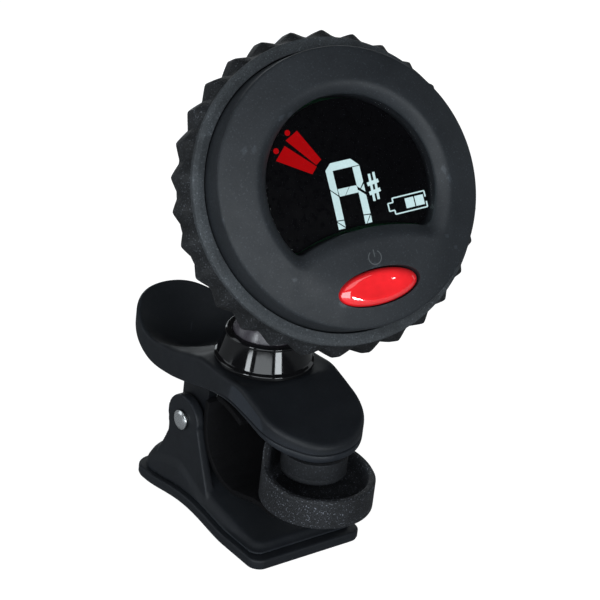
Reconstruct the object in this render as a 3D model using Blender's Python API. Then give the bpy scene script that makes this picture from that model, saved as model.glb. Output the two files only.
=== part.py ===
"""Clip-on instrument tuner: a round display head on a ball-jointed stem, carried by a sprung two-lever clip.

Metres, +Z up. The display looks towards -Y, the clip's pivot pin lies along X, and the clip stands on the
underside of its lower lever. The clip is laid out from the pivot pin, the head from the centre of its rim.
"""

import math

import bmesh
import bpy
from mathutils import Matrix, Vector

MM = 0.001
GAP = 0.3 * MM  # clearance between pieces that touch

# Clip: heights are above the surface it stands on, y is measured from the pivot pin
PIN_Z = 14.6 * MM
PIN_R = 1.25 * MM
PIN_HEAD_R = 1.65 * MM
LEVER_HALF = 10.6 * MM
SOLE_FRONT, SOLE_REAR = -24.3 * MM, 10.4 * MM
SOLE_CORNER, SOLE_REAR_CORNER = 2.0 * MM, 3.0 * MM
SOLE_ARCH = 1.2 * MM
SOLE_THICK = 2.0 * MM
BODY_INSET = 0.8 * MM
BODY_FRONT = -22.9 * MM
EAR_OUT, EAR_IN = 9.0 * MM, 7.4 * MM
EAR_R = 4.1 * MM
PADDLE_FRONT, PADDLE_REAR = -28.4 * MM, 21.0 * MM
PADDLE_HALF = 9.1 * MM
PADDLE_WALL = 1.6 * MM
UPPER_EAR_OUT, UPPER_EAR_IN = 6.9 * MM, 5.3 * MM
UPPER_EAR_R = 3.3 * MM
COIL_WIRE_R = 0.45 * MM
COIL_R = 2.45 * MM
COIL_TURNS = 7
CUP_Y, CUP_R, CUP_WALL = -24.1 * MM, 8.9 * MM, 1.2 * MM
CUP_BOTTOM, CUP_TOP = 10.6 * MM, 15.5 * MM
CUP_SLOPE_RISE, CUP_BACK_RISE = 0.7 * MM, 3.1 * MM
PAD_Y, PAD_R = -22.6 * MM, 5.2 * MM
LINER_HALF = 8.0 * MM
LINER_THICK = 0.9 * MM

# Ball joint on top of the clip
SOCKET = Vector((0.0, -7.6 * MM, 31.2 * MM))
BALL_R = 5.5 * MM
PLATEAU_Z = 27.2 * MM
COLLAR_TOP_Z = 32.5 * MM
POCKET_R = 7.1 * MM
POCKET_Z = 24.7 * MM
STUD_R = 1.6 * MM
STUD_END = 12.0 * MM
STEM_START = 6.4 * MM

# Head: local x is right, y is up and z points out of the display; z = 0 is the front of the rubber rim
HEAD_CENTRE = Vector((-4.6 * MM, -25.7 * MM, 65.0 * MM))
HEAD_YAW = math.radians(-12.1)
HEAD_PITCH = math.radians(31.7)
HEAD_ROLL = math.radians(7.2)
RIM_LIP_R = 22.4 * MM
RIM_VALLEY_R, RIM_TIP_R = 22.7 * MM, 23.9 * MM
RIM_TEETH = 30
RIM_DEPTH = 7.0 * MM
CAP_R = 20.4 * MM
CAP_WALL = 1.4 * MM
CAP_SHOULDER, CAP_CROWN = 4.3 * MM, 6.3 * MM
WINDOW_R = 13.4 * MM
WINDOW_BEVEL = 1.9 * MM
WINDOW_Z = 5.0 * MM
SILL_PEAK, SILL_R = -6.2 * MM, 30.0 * MM
BUTTON_Y = -14.7 * MM
BUTTON_HALF = (6.5 * MM, 2.55 * MM)
BACK_Z = -13.0 * MM
BACK_R = 18.6 * MM
SHELL_R = 21.2 * MM
SHELL_WALL = 1.5 * MM
BOSS_Y = -11.5 * MM
CELL_Y = 5.5 * MM
CELL_R, CELL_H = 10.0 * MM, 3.2 * MM
DOOR_HALF = 11.0 * MM
DOOR_LOW = -5.6 * MM
DOOR_THICK = 1.3 * MM
SCREW_RING_R = 16.5 * MM
SCREW_ANGLES = (38, 142, 218, 322)

ROUND = 32
PIVOT = "jaw_pivot"


def clear_scene():
    for obj in list(bpy.data.objects):
        bpy.data.objects.remove(obj, do_unlink=True)


def material(name, rgb, roughness, metallic=0.0):
    mat = bpy.data.materials.get(name)
    if mat is None:
        mat = bpy.data.materials.new(name)
        mat.use_nodes = True
        shader = mat.node_tree.nodes["Principled BSDF"]
        shader.inputs["Base Color"].default_value = (*rgb, 1.0)
        shader.inputs["Roughness"].default_value = roughness
        shader.inputs["Metallic"].default_value = metallic
    return mat


def soft_black():
    return material("soft_touch_black", (0.022, 0.023, 0.026), 0.62)


def hard_black():
    return material("moulded_black", (0.02, 0.02, 0.023), 0.45)


def gloss_black():
    return material("gloss_black", (0.008, 0.008, 0.009), 0.12)


def rubber():
    return material("rubber_black", (0.018, 0.018, 0.02), 0.8)


def steel():
    return material("bright_steel", (0.75, 0.76, 0.78), 0.25, 1.0)


def empty(name, matrix):
    obj = bpy.data.objects.new(name, None)
    bpy.context.scene.collection.objects.link(obj)
    obj.matrix_world = matrix
    return obj


def add(name, bm, mat, parent, placed=None, smooth=True):
    """Makes the bmesh an object under its parent, in the parent's axes; the upper lever's keep the clip's axes."""
    bmesh.ops.remove_doubles(bm, verts=bm.verts, dist=1e-6)
    bmesh.ops.recalc_face_normals(bm, faces=bm.faces)
    mesh = bpy.data.meshes.new(name)
    bm.to_mesh(mesh)
    bm.free()
    obj = bpy.data.objects.new(name, mesh)
    bpy.context.scene.collection.objects.link(obj)
    if mat:
        mesh.materials.append(mat)
    if smooth:
        mesh.shade_smooth()
        mesh.set_sharp_from_angle(angle=math.radians(35))
    obj.parent = parent
    if parent.name == PIVOT:
        obj.matrix_parent_inverse = parent.matrix_local.inverted()
    if placed is not None:
        obj.matrix_basis = placed
    return obj


def helper(obj):
    obj.hide_render = True
    obj.display_type = "WIRE"
    return obj


def boolean(obj, other, operation="DIFFERENCE"):
    modifier = obj.modifiers.new(other.name, "BOOLEAN")
    modifier.operation = operation
    modifier.solver = "EXACT"
    modifier.object = helper(other)


def revolved(profile, steps=ROUND):
    """A closed body from an (r, z) profile turned about Z. A profile that starts and ends on the axis is solid."""
    bm = bmesh.new()
    verts = [bm.verts.new((r, 0.0, z)) for r, z in profile]
    on_axis = profile[0][0] == 0.0 and profile[-1][0] == 0.0
    pairs = list(zip(verts, verts[1:]))
    if not on_axis:
        pairs.append((verts[-1], verts[0]))
    edges = [bm.edges.new(pair) for pair in pairs]
    bmesh.ops.spin(
        bm, geom=verts + edges, cent=(0, 0, 0), axis=(0, 0, 1), angle=2 * math.pi, steps=steps, use_merge=True
    )
    return bm


def prism(outline, low, high, along="Z"):
    """An outline of (a, b) points, extruded from low to high along Z, or along X with (a, b) as (y, z)."""
    bm = bmesh.new()
    if along == "Z":
        verts = [bm.verts.new((a, b, low)) for a, b in outline]
        step = (0, 0, high - low)
    else:
        verts = [bm.verts.new((low, a, b)) for a, b in outline]
        step = (high - low, 0, 0)
    face = bm.faces.new(verts)
    grown = bmesh.ops.extrude_face_region(bm, geom=[face])
    moved = [item for item in grown["geom"] if isinstance(item, bmesh.types.BMVert)]
    bmesh.ops.translate(bm, verts=moved, vec=step)
    return bm


def cylinder(radius, low, high, centre=(0.0, 0.0), steps=32):
    bm = revolved([(0.0, high), (radius, high), (radius, low), (0.0, low)], steps)
    bmesh.ops.translate(bm, verts=bm.verts, vec=(centre[0], centre[1], 0))
    return bm


def box(low, high):
    bm = bmesh.new()
    size = Vector(high) - Vector(low)
    middle = (Vector(high) + Vector(low)) / 2
    bmesh.ops.create_cube(bm, size=1.0, matrix=Matrix.Translation(middle) @ Matrix.Diagonal((*size, 1.0)))
    return bm


def arc(centre, radius, start, end, steps):
    """Points on a circle from the start to the end angle, in degrees."""
    angles = (math.radians(start + (end - start) * k / steps) for k in range(steps + 1))
    return [(centre[0] + radius * math.cos(a), centre[1] + radius * math.sin(a)) for a in angles]


def smooth_through(points):
    """A function y -> z, smooth through the given (y, z) points and level beyond their ends."""
    ys = [p[0] for p in points]
    zs = [p[1] for p in points]
    last = len(points) - 1
    slopes = []
    for k in range(len(points)):
        before, after = max(k - 1, 0), min(k + 1, last)
        slopes.append((zs[after] - zs[before]) / (ys[after] - ys[before]))
    slopes[0] = slopes[-1] = 0.0

    def height(y):
        if y <= ys[0]:
            return zs[0]
        if y >= ys[-1]:
            return zs[-1]
        k = max(i for i in range(last) if ys[i] <= y)
        span = ys[k + 1] - ys[k]
        t = (y - ys[k]) / span
        rise = (1 + 2 * t) * (1 - t) ** 2 * zs[k] + t * t * (3 - 2 * t) * zs[k + 1]
        lean = t * (1 - t) ** 2 * slopes[k] - t * t * (1 - t) * slopes[k + 1]
        return rise + lean * span

    return height


def bump(distance, reach):
    """1 at no distance, falling smoothly to 0 at the reach."""
    t = min(abs(distance) / reach, 1.0)
    return (1 - t * t) ** 2


def plan_outline(half, front, rear, front_r, rear_r):
    """A lever seen from above: straight sides between rounded front corners and a rounded rear."""
    points = arc((half - front_r, front + front_r), front_r, -90, 0, 8)
    side_low, side_high = front + front_r, rear - rear_r
    points += [(half, side_low + (side_high - side_low) * k / 10) for k in range(1, 10)]
    points += arc((half - rear_r, rear - rear_r), rear_r, 0, 90, 10)
    mirrored = [(-x, y) for x, y in reversed(points)]
    if rear_r >= half:
        mirrored = mirrored[1:]
    if front_r >= half:
        mirrored = mirrored[:-1]
    return points + mirrored


def shrunk(outline, share, spine_low, spine_high):
    """The outline drawn in towards a spine along Y, until it has the given share of its width."""
    points = []
    for x, y in outline:
        centre = min(max(y, spine_low), spine_high)
        points.append((x * share, centre + (y - centre) * share))
    return points


def lever_loft(outline, rings, spine):
    """A closed body through rings of (share, height function), drawn in to the spine at its first and last ring."""
    bm = bmesh.new()
    loops = []
    for share, height in rings:
        flat = shrunk(outline, share, *spine)
        loops.append([bm.verts.new((x, y, height(x, y))) for x, y in flat])
    for low, high in zip(loops, loops[1:]):
        for k in range(len(low)):
            nxt = (k + 1) % len(low)
            bm.faces.new((low[k], low[nxt], high[nxt], high[k]))
    bmesh.ops.remove_doubles(bm, verts=bm.verts, dist=1e-6)
    return bm


# ---- clip: lower lever ------------------------------------------------------------------------------


def sole_bottom(y):
    return SOLE_ARCH * bump(y + 4.5 * MM, 11 * MM)


def body_top(y):
    """The lower lever's top: a low deck in front, climbing under the hinge to a domed rear."""
    profile = smooth_through(
        [
            (SOLE_FRONT, 3.4 * MM),
            (-16 * MM, 3.6 * MM),
            (-9 * MM, 4.9 * MM),
            (-4.5 * MM, 6.4 * MM),
            (0 * MM, 7.8 * MM),
            (5 * MM, 8.0 * MM),
            (8 * MM, 7.3 * MM),
            (SOLE_REAR, 5.6 * MM),
        ]
    )
    return profile(y)


def lower_lever_sole(root):
    outline = plan_outline(LEVER_HALF, SOLE_FRONT, SOLE_REAR, SOLE_CORNER, SOLE_REAR_CORNER)
    spine = (SOLE_FRONT + 9 * MM, SOLE_REAR - LEVER_HALF)
    rings = [
        (0.0, lambda x, y: sole_bottom(y)),
        (0.55, lambda x, y: sole_bottom(y)),
        (0.96, lambda x, y: sole_bottom(y)),
        (1.0, lambda x, y: sole_bottom(y) + 0.5 * MM),
        (1.0, lambda x, y: sole_bottom(y) + SOLE_THICK - 0.4 * MM),
        (0.965, lambda x, y: sole_bottom(y) + SOLE_THICK),
        (0.5, lambda x, y: sole_bottom(y) + SOLE_THICK),
        (0.0, lambda x, y: sole_bottom(y) + SOLE_THICK),
    ]
    return add("lower_lever_sole", lever_loft(outline, rings, spine), soft_black(), root)


def lower_lever_body(root):
    half = LEVER_HALF - BODY_INSET
    rear = SOLE_REAR - BODY_INSET
    outline = plan_outline(half, BODY_FRONT, rear, SOLE_CORNER, SOLE_REAR_CORNER)
    spine = (BODY_FRONT + 8 * MM, rear - half)

    def underside(x, y):
        return sole_bottom(y) + SOLE_THICK + GAP

    rings = [
        (0.0, underside),
        (0.55, underside),
        (1.0, underside),
        (1.0, lambda x, y: underside(x, y) + 0.3 * MM),
        (0.93, lambda x, y: max(body_top(y) - 1.2 * MM, underside(x, y) + 0.5 * MM)),
        (0.84, lambda x, y: max(body_top(y), underside(x, y) + 0.6 * MM)),
        (0.45, lambda x, y: max(body_top(y), underside(x, y) + 0.6 * MM) + 0.3 * MM),
        (0.0, lambda x, y: max(body_top(y), underside(x, y) + 0.6 * MM) + 0.4 * MM),
    ]
    body = add("lower_lever_body", lever_loft(outline, rings, spine), soft_black(), root)
    ear_front = [(-4.0 * MM, PIN_Z), (-8.4 * MM, 4.2 * MM)]
    ear_rear = [(6.6 * MM, 4.4 * MM), (3.4 * MM, 11.2 * MM)]
    for side in (-1, 1):
        inner, outer = sorted((side * EAR_IN, side * EAR_OUT))
        outline = [*arc((0.0, PIN_Z), EAR_R, 0, 180, 18)[:-1], *ear_front, *ear_rear]
        ear = add("lower_ear_blank", prism(outline, inner, outer, "X"), None, root, smooth=False)
        boolean(body, ear, "UNION")
    bore = cylinder(PIN_R + 0.06 * MM, -12 * MM, 12 * MM)
    turn = Matrix.Translation((0, 0, PIN_Z)) @ Matrix.Rotation(math.pi / 2, 4, "Y")
    boolean(body, add("lower_ear_bore", bore, None, root, turn, smooth=False))
    return body


def pivot_pin(root):
    head_r, head_out, head_in = PIN_HEAD_R, 9.75 * MM, 9.3 * MM
    profile = [
        (0.0, head_out),
        (head_r - 0.5 * MM, head_out),
        (head_r, head_in + 0.15 * MM),
        (head_r, head_in),
        (PIN_R, head_in),
        (PIN_R, -head_in),
        (head_r, -head_in),
        (head_r, -head_in - 0.15 * MM),
        (head_r - 0.5 * MM, -head_out),
        (0.0, -head_out),
    ]
    turn = Matrix.Translation((0, 0, PIN_Z)) @ Matrix.Rotation(math.pi / 2, 4, "Y")
    return add("pivot_pin", revolved(profile, 24), steel(), root, turn)


def torsion_spring(root):
    """A close coil round the pin with one leg under the upper paddle and one on the lower lever's saddle."""
    per_turn = 8
    pitch = 2 * COIL_WIRE_R + 0.12 * MM
    width = pitch * COIL_TURNS
    reach = 7.2 * MM
    points = [Vector((-width / 2, reach, PIN_Z - COIL_R - 1.4 * MM))]
    steps = COIL_TURNS * per_turn
    for k in range(steps + 1):
        turn = 2 * math.pi * k / per_turn
        across = -width / 2 + width * k / steps
        points.append(
            Vector((across, -COIL_R * math.sin(turn), PIN_Z - COIL_R * math.cos(turn)))
        )
    points.append(Vector((width / 2, reach, PIN_Z - COIL_R + 0.9 * MM)))
    curve = bpy.data.curves.new("torsion_spring", "CURVE")
    curve.dimensions = "3D"
    curve.bevel_depth = COIL_WIRE_R
    curve.bevel_resolution = 1
    curve.use_fill_caps = True
    spline = curve.splines.new("POLY")
    spline.points.add(len(points) - 1)
    for point, place in zip(spline.points, points):
        point.co = (*place, 1.0)
    curve.materials.append(steel())
    obj = bpy.data.objects.new("torsion_spring", curve)
    bpy.context.scene.collection.objects.link(obj)
    obj.parent = root
    return obj


def strip(points, thick, half):
    """A bent strip: its centre line of (y, z) points given a thickness, extruded across the clip."""
    left, right = [], []
    for k, point in enumerate(points):
        before = Vector(points[max(k - 1, 0)])
        after = Vector(points[min(k + 1, len(points) - 1)])
        run = (after - before).normalized()
        side = Vector((-run.y, run.x)) * thick / 2
        left.append(tuple(Vector(point) + side))
        right.append(tuple(Vector(point) - side))
    return prism(left + right[::-1], -half, half, "X")


def jaw_liner_lower(root):
    """The rubber band behind the jaw mouth, bent forward into the springy arm that carries the lower cup."""
    back = [(-4.7, 20.0), (-4.55, 17.6), (-4.75, 15.2), (-5.4, 12.9), (-6.6, 10.9), (-8.4, 9.3), (-10.6, 8.3)]
    arm = [(-13.2, 8.1), (-16.0, 8.8), (-18.6, 9.55), (-21.0, 9.8), (-24.0, 9.8)]
    points = [(y * MM, z * MM) for y, z in back + arm]
    return add("jaw_liner_lower", strip(points, LINER_THICK, LINER_HALF), rubber(), root)


def cup_rise(y):
    """How far the cup's rim stands above its front: a slight slope, then a steep rise to a high back."""
    slope = min(max((y + 27 * MM) / (6 * MM), 0.0), 1.0)
    t = min(max((y + 20.6 * MM) / (3.4 * MM), 0.0), 1.0)
    return CUP_SLOPE_RISE * slope + CUP_BACK_RISE * t * t * (3 - 2 * t)


def lower_jaw_cup(root):
    inner = CUP_R - CUP_WALL
    floor = CUP_BOTTOM + 1.3 * MM
    profile = [
        (0.0, floor),
        (inner - 0.8 * MM, floor),
        (inner, floor + 0.8 * MM),
        (inner, CUP_TOP - 0.2 * MM),
        (inner + 0.3 * MM, CUP_TOP),
        (CUP_R - 0.3 * MM, CUP_TOP),
        (CUP_R, CUP_TOP - 0.3 * MM),
        (CUP_R, CUP_BOTTOM + 0.4 * MM),
        (CUP_R - 0.4 * MM, CUP_BOTTOM),
        (0.0, CUP_BOTTOM),
    ]
    cup = revolved(profile)
    for vert in cup.verts:
        if vert.co.z > floor + MM:
            vert.co.z += cup_rise(vert.co.y + CUP_Y)
    place = Matrix.Translation((0, CUP_Y, 0))
    return add("lower_jaw_cup", cup, rubber(), root, place)


# ---- clip: upper lever ------------------------------------------------------------------------------


def paddle_rim(y):
    """Height of the upper lever's top edge: raised round the rear, dipping, then high at the hump."""
    profile = smooth_through(
        [
            (PADDLE_FRONT, 22.9 * MM),
            (-25 * MM, 24.0 * MM),
            (-21 * MM, 25.2 * MM),
            (-16 * MM, 26.9 * MM),
            (-11 * MM, 28.3 * MM),
            (-6 * MM, 28.1 * MM),
            (0 * MM, 26.5 * MM),
            (5 * MM, 25.0 * MM),
            (10 * MM, 24.5 * MM),
            (14 * MM, 25.3 * MM),
            (17.5 * MM, 26.8 * MM),
            (PADDLE_REAR, 27.8 * MM),
        ]
    )
    return profile(y)


def paddle_under(y):
    profile = smooth_through(
        [
            (PADDLE_FRONT, 19.8 * MM),
            (-25 * MM, 20.7 * MM),
            (-20 * MM, 21.9 * MM),
            (-12 * MM, 23.5 * MM),
            (-6 * MM, 22.9 * MM),
            (0 * MM, 21.3 * MM),
            (5 * MM, 20.3 * MM),
            (10 * MM, 20.2 * MM),
            (14 * MM, 21.8 * MM),
            (18 * MM, 24.1 * MM),
            (PADDLE_REAR, 25.8 * MM),
        ]
    )
    return profile(y)


def paddle_top(x, y):
    """The upper lever's top face: its edge height, sunk into a thumb dish at the rear."""
    across = x / PADDLE_HALF
    along = (y - 10.5 * MM) / (10 * MM)
    dish = 2.6 * MM * max(0.0, 1 - across**2 - along**2)
    near = bump(max(0.0, math.hypot(x, y - SOCKET.y) - 8.4 * MM), 3.5 * MM)
    rim = paddle_rim(y) - dish
    return rim * (1 - near) + min(rim, PLATEAU_Z) * near


PADDLE_SPINE = (PADDLE_FRONT + PADDLE_HALF, PADDLE_REAR - PADDLE_HALF)


def paddle_outline():
    return plan_outline(PADDLE_HALF, PADDLE_FRONT, PADDLE_REAR, PADDLE_HALF, PADDLE_HALF)


def upper_lever_shell(pivot):
    inner = 1 - PADDLE_WALL / PADDLE_HALF
    cover = 1.5 * MM

    def ceiling(x, y):
        return max(paddle_top(x, y) - cover, paddle_under(y) + 0.4 * MM)

    rings = [
        (0.0, paddle_top),
        (0.4, paddle_top),
        (0.72, paddle_top),
        (0.95, paddle_top),
        (1.0, lambda x, y: paddle_rim(y) - 0.5 * MM),
        (1.0, lambda x, y: paddle_under(y) + 0.3 * MM),
        (0.97, lambda x, y: paddle_under(y)),
        (inner, lambda x, y: paddle_under(y)),
        (inner, ceiling),
        (0.45, ceiling),
        (0.0, ceiling),
    ]
    shell = add("upper_lever_shell", lever_loft(paddle_outline(), rings, PADDLE_SPINE), soft_black(), pivot)
    pocket = cylinder(POCKET_R, POCKET_Z, 40 * MM, (0.0, SOCKET.y), ROUND)
    boolean(shell, add("collar_pocket", pocket, None, pivot, smooth=False))
    return shell


def upper_lever_frame(pivot):
    outer = 1 - (PADDLE_WALL + GAP) / PADDLE_HALF
    cover = 1.5 * MM + 2 * GAP

    def roof(x, y):
        return max(paddle_top(x, y) - cover, paddle_under(y) - 0.2 * MM)

    def floor(x, y):
        return min(paddle_under(y), roof(x, y) - 0.6 * MM) - 0.8 * MM * bump(y + 24 * MM, 13 * MM)

    rings = [
        (0.0, roof),
        (0.45, roof),
        (outer, roof),
        (outer, floor),
        (0.5, floor),
        (0.0, floor),
    ]
    frame = add("upper_lever_frame", lever_loft(paddle_outline(), rings, PADDLE_SPINE), hard_black(), pivot)
    ear = arc((0.0, PIN_Z), UPPER_EAR_R, 180, 360, 16) + [(3.3 * MM, 21.2 * MM), (-3.6 * MM, 22.6 * MM)]
    for side in (-1, 1):
        low, high = sorted((side * UPPER_EAR_IN, side * UPPER_EAR_OUT))
        blank = add("upper_ear_blank", prism(ear, low, high, "X"), None, pivot, smooth=False)
        boolean(frame, blank, "UNION")
    turn = Matrix.Translation((0, 0, PIN_Z)) @ Matrix.Rotation(math.pi / 2, 4, "Y")
    bore = cylinder(PIN_R + 0.06 * MM, -12 * MM, 12 * MM)
    boolean(frame, add("upper_ear_bore", bore, None, pivot, turn, smooth=False))
    pocket = cylinder(POCKET_R + 0.5 * MM, POCKET_Z, 40 * MM, (0.0, SOCKET.y), ROUND)
    boolean(frame, add("seat_pocket", pocket, None, pivot, smooth=False))
    return frame


def jaw_liner_upper(pivot):
    points = [(-7.0, 22.0), (-9.0, 21.8), (-11.0, 21.4), (-13.5, 20.6)]
    placed = [(y * MM, z * MM) for y, z in points]
    return add("jaw_liner_upper", strip(placed, LINER_THICK, LINER_HALF), rubber(), pivot)


def upper_jaw_pad(pivot):
    low, high = 15.0 * MM, 18.9 * MM
    profile = [
        (0.0, high),
        (PAD_R, high),
        (PAD_R, low + 0.6 * MM),
        (PAD_R - 0.6 * MM, low),
        (0.0, low),
    ]
    place = Matrix.Translation((0, PAD_Y, 0))
    return add("upper_jaw_pad", revolved(profile, 28), rubber(), pivot, place)


# ---- ball joint -------------------------------------------------------------------------------------


def socket_collar(pivot):
    """The tapered ring that holds the ball down; its skirt sinks into the pocket in the upper lever."""
    top = COLLAR_TOP_Z - SOCKET.z
    foot = PLATEAU_Z + GAP - SOCKET.z
    inner = BALL_R + 0.7 * MM
    mouth = math.sqrt((BALL_R + 0.12 * MM) ** 2 - top**2)
    profile = [
        (mouth, top),
        (6.3 * MM, top),
        (6.6 * MM, top - 0.3 * MM),
        (7.5 * MM, foot + 0.9 * MM),
        (7.9 * MM, foot + 0.7 * MM),
        (7.9 * MM, foot),
        (inner + 0.7 * MM, foot),
        (inner + 0.7 * MM, foot - 1.6 * MM),
        (inner, foot - 1.6 * MM),
        (inner, 0.0),
        (mouth + 0.35 * MM, 0.45 * MM),
    ]
    return add("socket_collar", revolved(profile), gloss_black(), pivot)


def ball_seat(pivot):
    """A slotted friction cup round the lower half of the ball."""
    inner, outer = BALL_R + 0.2 * MM, BALL_R + 0.6 * MM
    angles = [-70, -53, -36, -18, -1]
    hollow = [(inner * math.cos(math.radians(a)), inner * math.sin(math.radians(a))) for a in angles]
    skin = [(outer * math.cos(math.radians(a)), outer * math.sin(math.radians(a))) for a in reversed(angles)]
    seat = add("ball_seat", revolved(skin + hollow, 24), hard_black(), pivot)
    slot_half, slot_foot = 0.5 * MM, -3.2 * MM
    for k in range(2):
        slot = box((-10 * MM, -slot_half, slot_foot), (10 * MM, slot_half, 2 * MM))
        turn = Matrix.Rotation(math.radians(45 + 90 * k), 4, "Z")
        boolean(seat, add("seat_slot", slot, None, pivot, turn, smooth=False))
    return seat


def ball_stud(pivot, aim):
    """The ball and the round stud on which the stem turns."""
    bend = [(BALL_R * math.cos(math.radians(a)), BALL_R * math.sin(math.radians(a))) for a in range(60, -90, -15)]
    neck_z = math.sqrt(BALL_R**2 - STUD_R**2)
    profile = [(0.0, STUD_END), (STUD_R, STUD_END), (STUD_R, neck_z), *bend, (0.0, -BALL_R)]
    return add("ball_stud", revolved(profile, 24), material("grey_acetal", (0.075, 0.068, 0.078), 0.4), pivot, aim)


def stem_arm(pivot, aim, reach):
    """The stem: bored for the stud at one end, with a wide foot that is screwed to the back of the head."""
    bore_r, bore_end = STUD_R + 0.1 * MM, STUD_END + 0.4 * MM
    foot = reach - 1.6 * MM
    profile = [
        (bore_r, STEM_START),
        (2.7 * MM, STEM_START),
        (3.1 * MM, STEM_START + 0.5 * MM),
        (3.1 * MM, reach - 9 * MM),
        (3.9 * MM, reach - 4 * MM),
        (5.0 * MM, foot),
        (5.0 * MM, reach),
        (0.0, reach),
        (0.0, bore_end),
        (bore_r, bore_end),
    ]
    bm = bmesh.new()
    verts = [bm.verts.new((r, 0.0, z)) for r, z in profile]
    edges = [bm.edges.new(pair) for pair in zip(verts, verts[1:])]
    edges.append(bm.edges.new((verts[-1], verts[0])))
    edges = [edge for edge in edges if not all(v.co.x == 0.0 for v in edge.verts)]
    bmesh.ops.spin(
        bm, geom=verts + edges, cent=(0, 0, 0), axis=(0, 0, 1), angle=2 * math.pi, steps=24, use_merge=True
    )
    for loose in [edge for edge in bm.edges if not edge.link_faces]:
        bm.edges.remove(loose)
    return add("stem_arm", bm, hard_black(), pivot, aim)


# ---- head -------------------------------------------------------------------------------------------


def face_height(r):
    """Height of the domed front face at a distance from its centre."""
    t = (CAP_R - r) / (CAP_R - WINDOW_R)
    return CAP_SHOULDER + (CAP_CROWN - CAP_SHOULDER) * min(max(t, 0.0), 1.0) ** 0.7


def window_outline(grow, corner=1.6 * MM):
    """The window: most of a circle over a sill that bulges upward, with rounded lower corners."""
    radius = WINDOW_R + grow
    sill_r = SILL_R - grow
    sill_centre = SILL_PEAK - SILL_R
    r_corner = max(corner - grow, 0.5 * MM)
    # the corner circle touches the inside of the window circle and the outside of the sill circle
    big, small = radius - r_corner, sill_r + r_corner
    y = (big**2 - small**2 + sill_centre**2) / (2 * sill_centre)
    x = math.sqrt(max(big**2 - y**2, 0.0))
    outer_angle = math.degrees(math.atan2(y, x))
    sill_angle = math.degrees(math.atan2(y - sill_centre, x))
    right = arc((x, y), r_corner, sill_angle + 180, outer_angle + 360, 6)
    middle = arc((0.0, sill_centre), sill_r, 180 - sill_angle, sill_angle, 12)
    left = [(-a, b) for a, b in reversed(right)]
    top = arc((0.0, 0.0), radius, outer_angle, 180 - outer_angle, 32)
    return middle[1:-1] + right + top[1:-1] + left


def oval(half_x, half_y, centre_y, steps=36):
    turn = 2 * math.pi / steps
    return [(half_x * math.cos(k * turn), centre_y + half_y * math.sin(k * turn)) for k in range(steps)]


def loft(loops):
    """A closed body through loops of equal length, each a list of (x, y, z); the two ends are filled."""
    bm = bmesh.new()
    rows = [[bm.verts.new(point) for point in loop] for loop in loops]
    for low, high in zip(rows, rows[1:]):
        for k in range(len(low)):
            nxt = (k + 1) % len(low)
            bm.faces.new((low[k], low[nxt], high[nxt], high[k]))
    bm.faces.new(rows[0][::-1])
    bm.faces.new(rows[-1])
    return bm


def screw_places():
    return [
        (SCREW_RING_R * math.cos(math.radians(a)), SCREW_RING_R * math.sin(math.radians(a)))
        for a in SCREW_ANGLES
    ]


def front_bezel(head):
    """The domed front: a round cap with the bevelled window and the button's hole, and posts for the screws."""
    skirt = -2.0 * MM
    inner = CAP_R - CAP_WALL
    radii = [CAP_R - 0.7 * MM, 18.0 * MM, 15.6 * MM, WINDOW_R]
    face = [(r, face_height(r)) for r in radii]
    under = [(r, face_height(r) - CAP_WALL) for r in (WINDOW_R, 16.5 * MM)]
    profile = [
        (0.0, CAP_CROWN - CAP_WALL),
        *under,
        (inner, CAP_SHOULDER - 1.2 * MM),
        (inner, skirt),
        (CAP_R + 0.15 * MM, skirt),
        (CAP_R, CAP_SHOULDER - 0.2 * MM),
        *face,
        (0.0, CAP_CROWN),
    ]
    bezel = add("front_bezel", revolved(profile), soft_black(), head)
    for k, (x, y) in enumerate(screw_places()):
        post = cylinder(1.6 * MM, -7.8 * MM, CAP_SHOULDER + 0.4 * MM, (x, y), 20)
        boolean(bezel, add(f"screw_post_{k}", post, None, head, smooth=False), "UNION")
    for k, (x, y) in enumerate(screw_places()):
        hole = cylinder(0.85 * MM, -12 * MM, -1.0 * MM, (x, y), 16)
        boolean(bezel, add(f"screw_pilot_{k}", hole, None, head, smooth=False))
    low = [(x, y, 1.0 * MM) for x, y in window_outline(0.0)]
    sill = [(x, y, WINDOW_Z - 0.05 * MM) for x, y in window_outline(0.0)]
    high = [(x, y, CAP_CROWN + 0.25 * MM) for x, y in window_outline(WINDOW_BEVEL)]
    boolean(bezel, add("window_cutter", loft([low, sill, high]), None, head, smooth=False))
    hole = prism(oval(BUTTON_HALF[0] + 0.2 * MM, BUTTON_HALF[1] + 0.2 * MM, BUTTON_Y), 0.0, 9 * MM)
    boolean(bezel, add("button_cutter", hole, None, head, smooth=False))
    return bezel


def scalloped_rim(head):
    """The rubber grip round the head: a smooth front lip, then pointed teeth."""
    inner = CAP_R + 0.5 * MM
    steps = 2 * RIM_TEETH

    def loop(radius, z, tips=0.0):
        points = []
        for k in range(steps):
            angle = 2 * math.pi * k / steps
            r = radius + (tips if k % 2 else 0.0)
            points.append((r * math.cos(angle), r * math.sin(angle), z))
        return points

    height = RIM_TIP_R - RIM_VALLEY_R
    rows = [
        loop(inner, -RIM_DEPTH),
        loop(inner, -0.5 * MM),
        loop(inner + 0.35 * MM, 0.0),
        loop(RIM_LIP_R - 0.5 * MM, 0.0),
        loop(RIM_LIP_R, -0.5 * MM),
        loop(RIM_LIP_R, -0.9 * MM),
        loop(RIM_VALLEY_R, -2.6 * MM, height),
        loop(RIM_VALLEY_R, -RIM_DEPTH + 2.0 * MM, height),
        loop(RIM_LIP_R - 0.4 * MM, -RIM_DEPTH),
    ]
    bm = bmesh.new()
    rings = [[bm.verts.new(point) for point in row] for row in rows]
    for low, high in zip(rings, rings[1:] + rings[:1]):
        for k in range(steps):
            nxt = (k + 1) % steps
            bm.faces.new((low[k], low[nxt], high[nxt], high[k]))
    return add("scalloped_rim", bm, rubber(), head, smooth=False)


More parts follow.
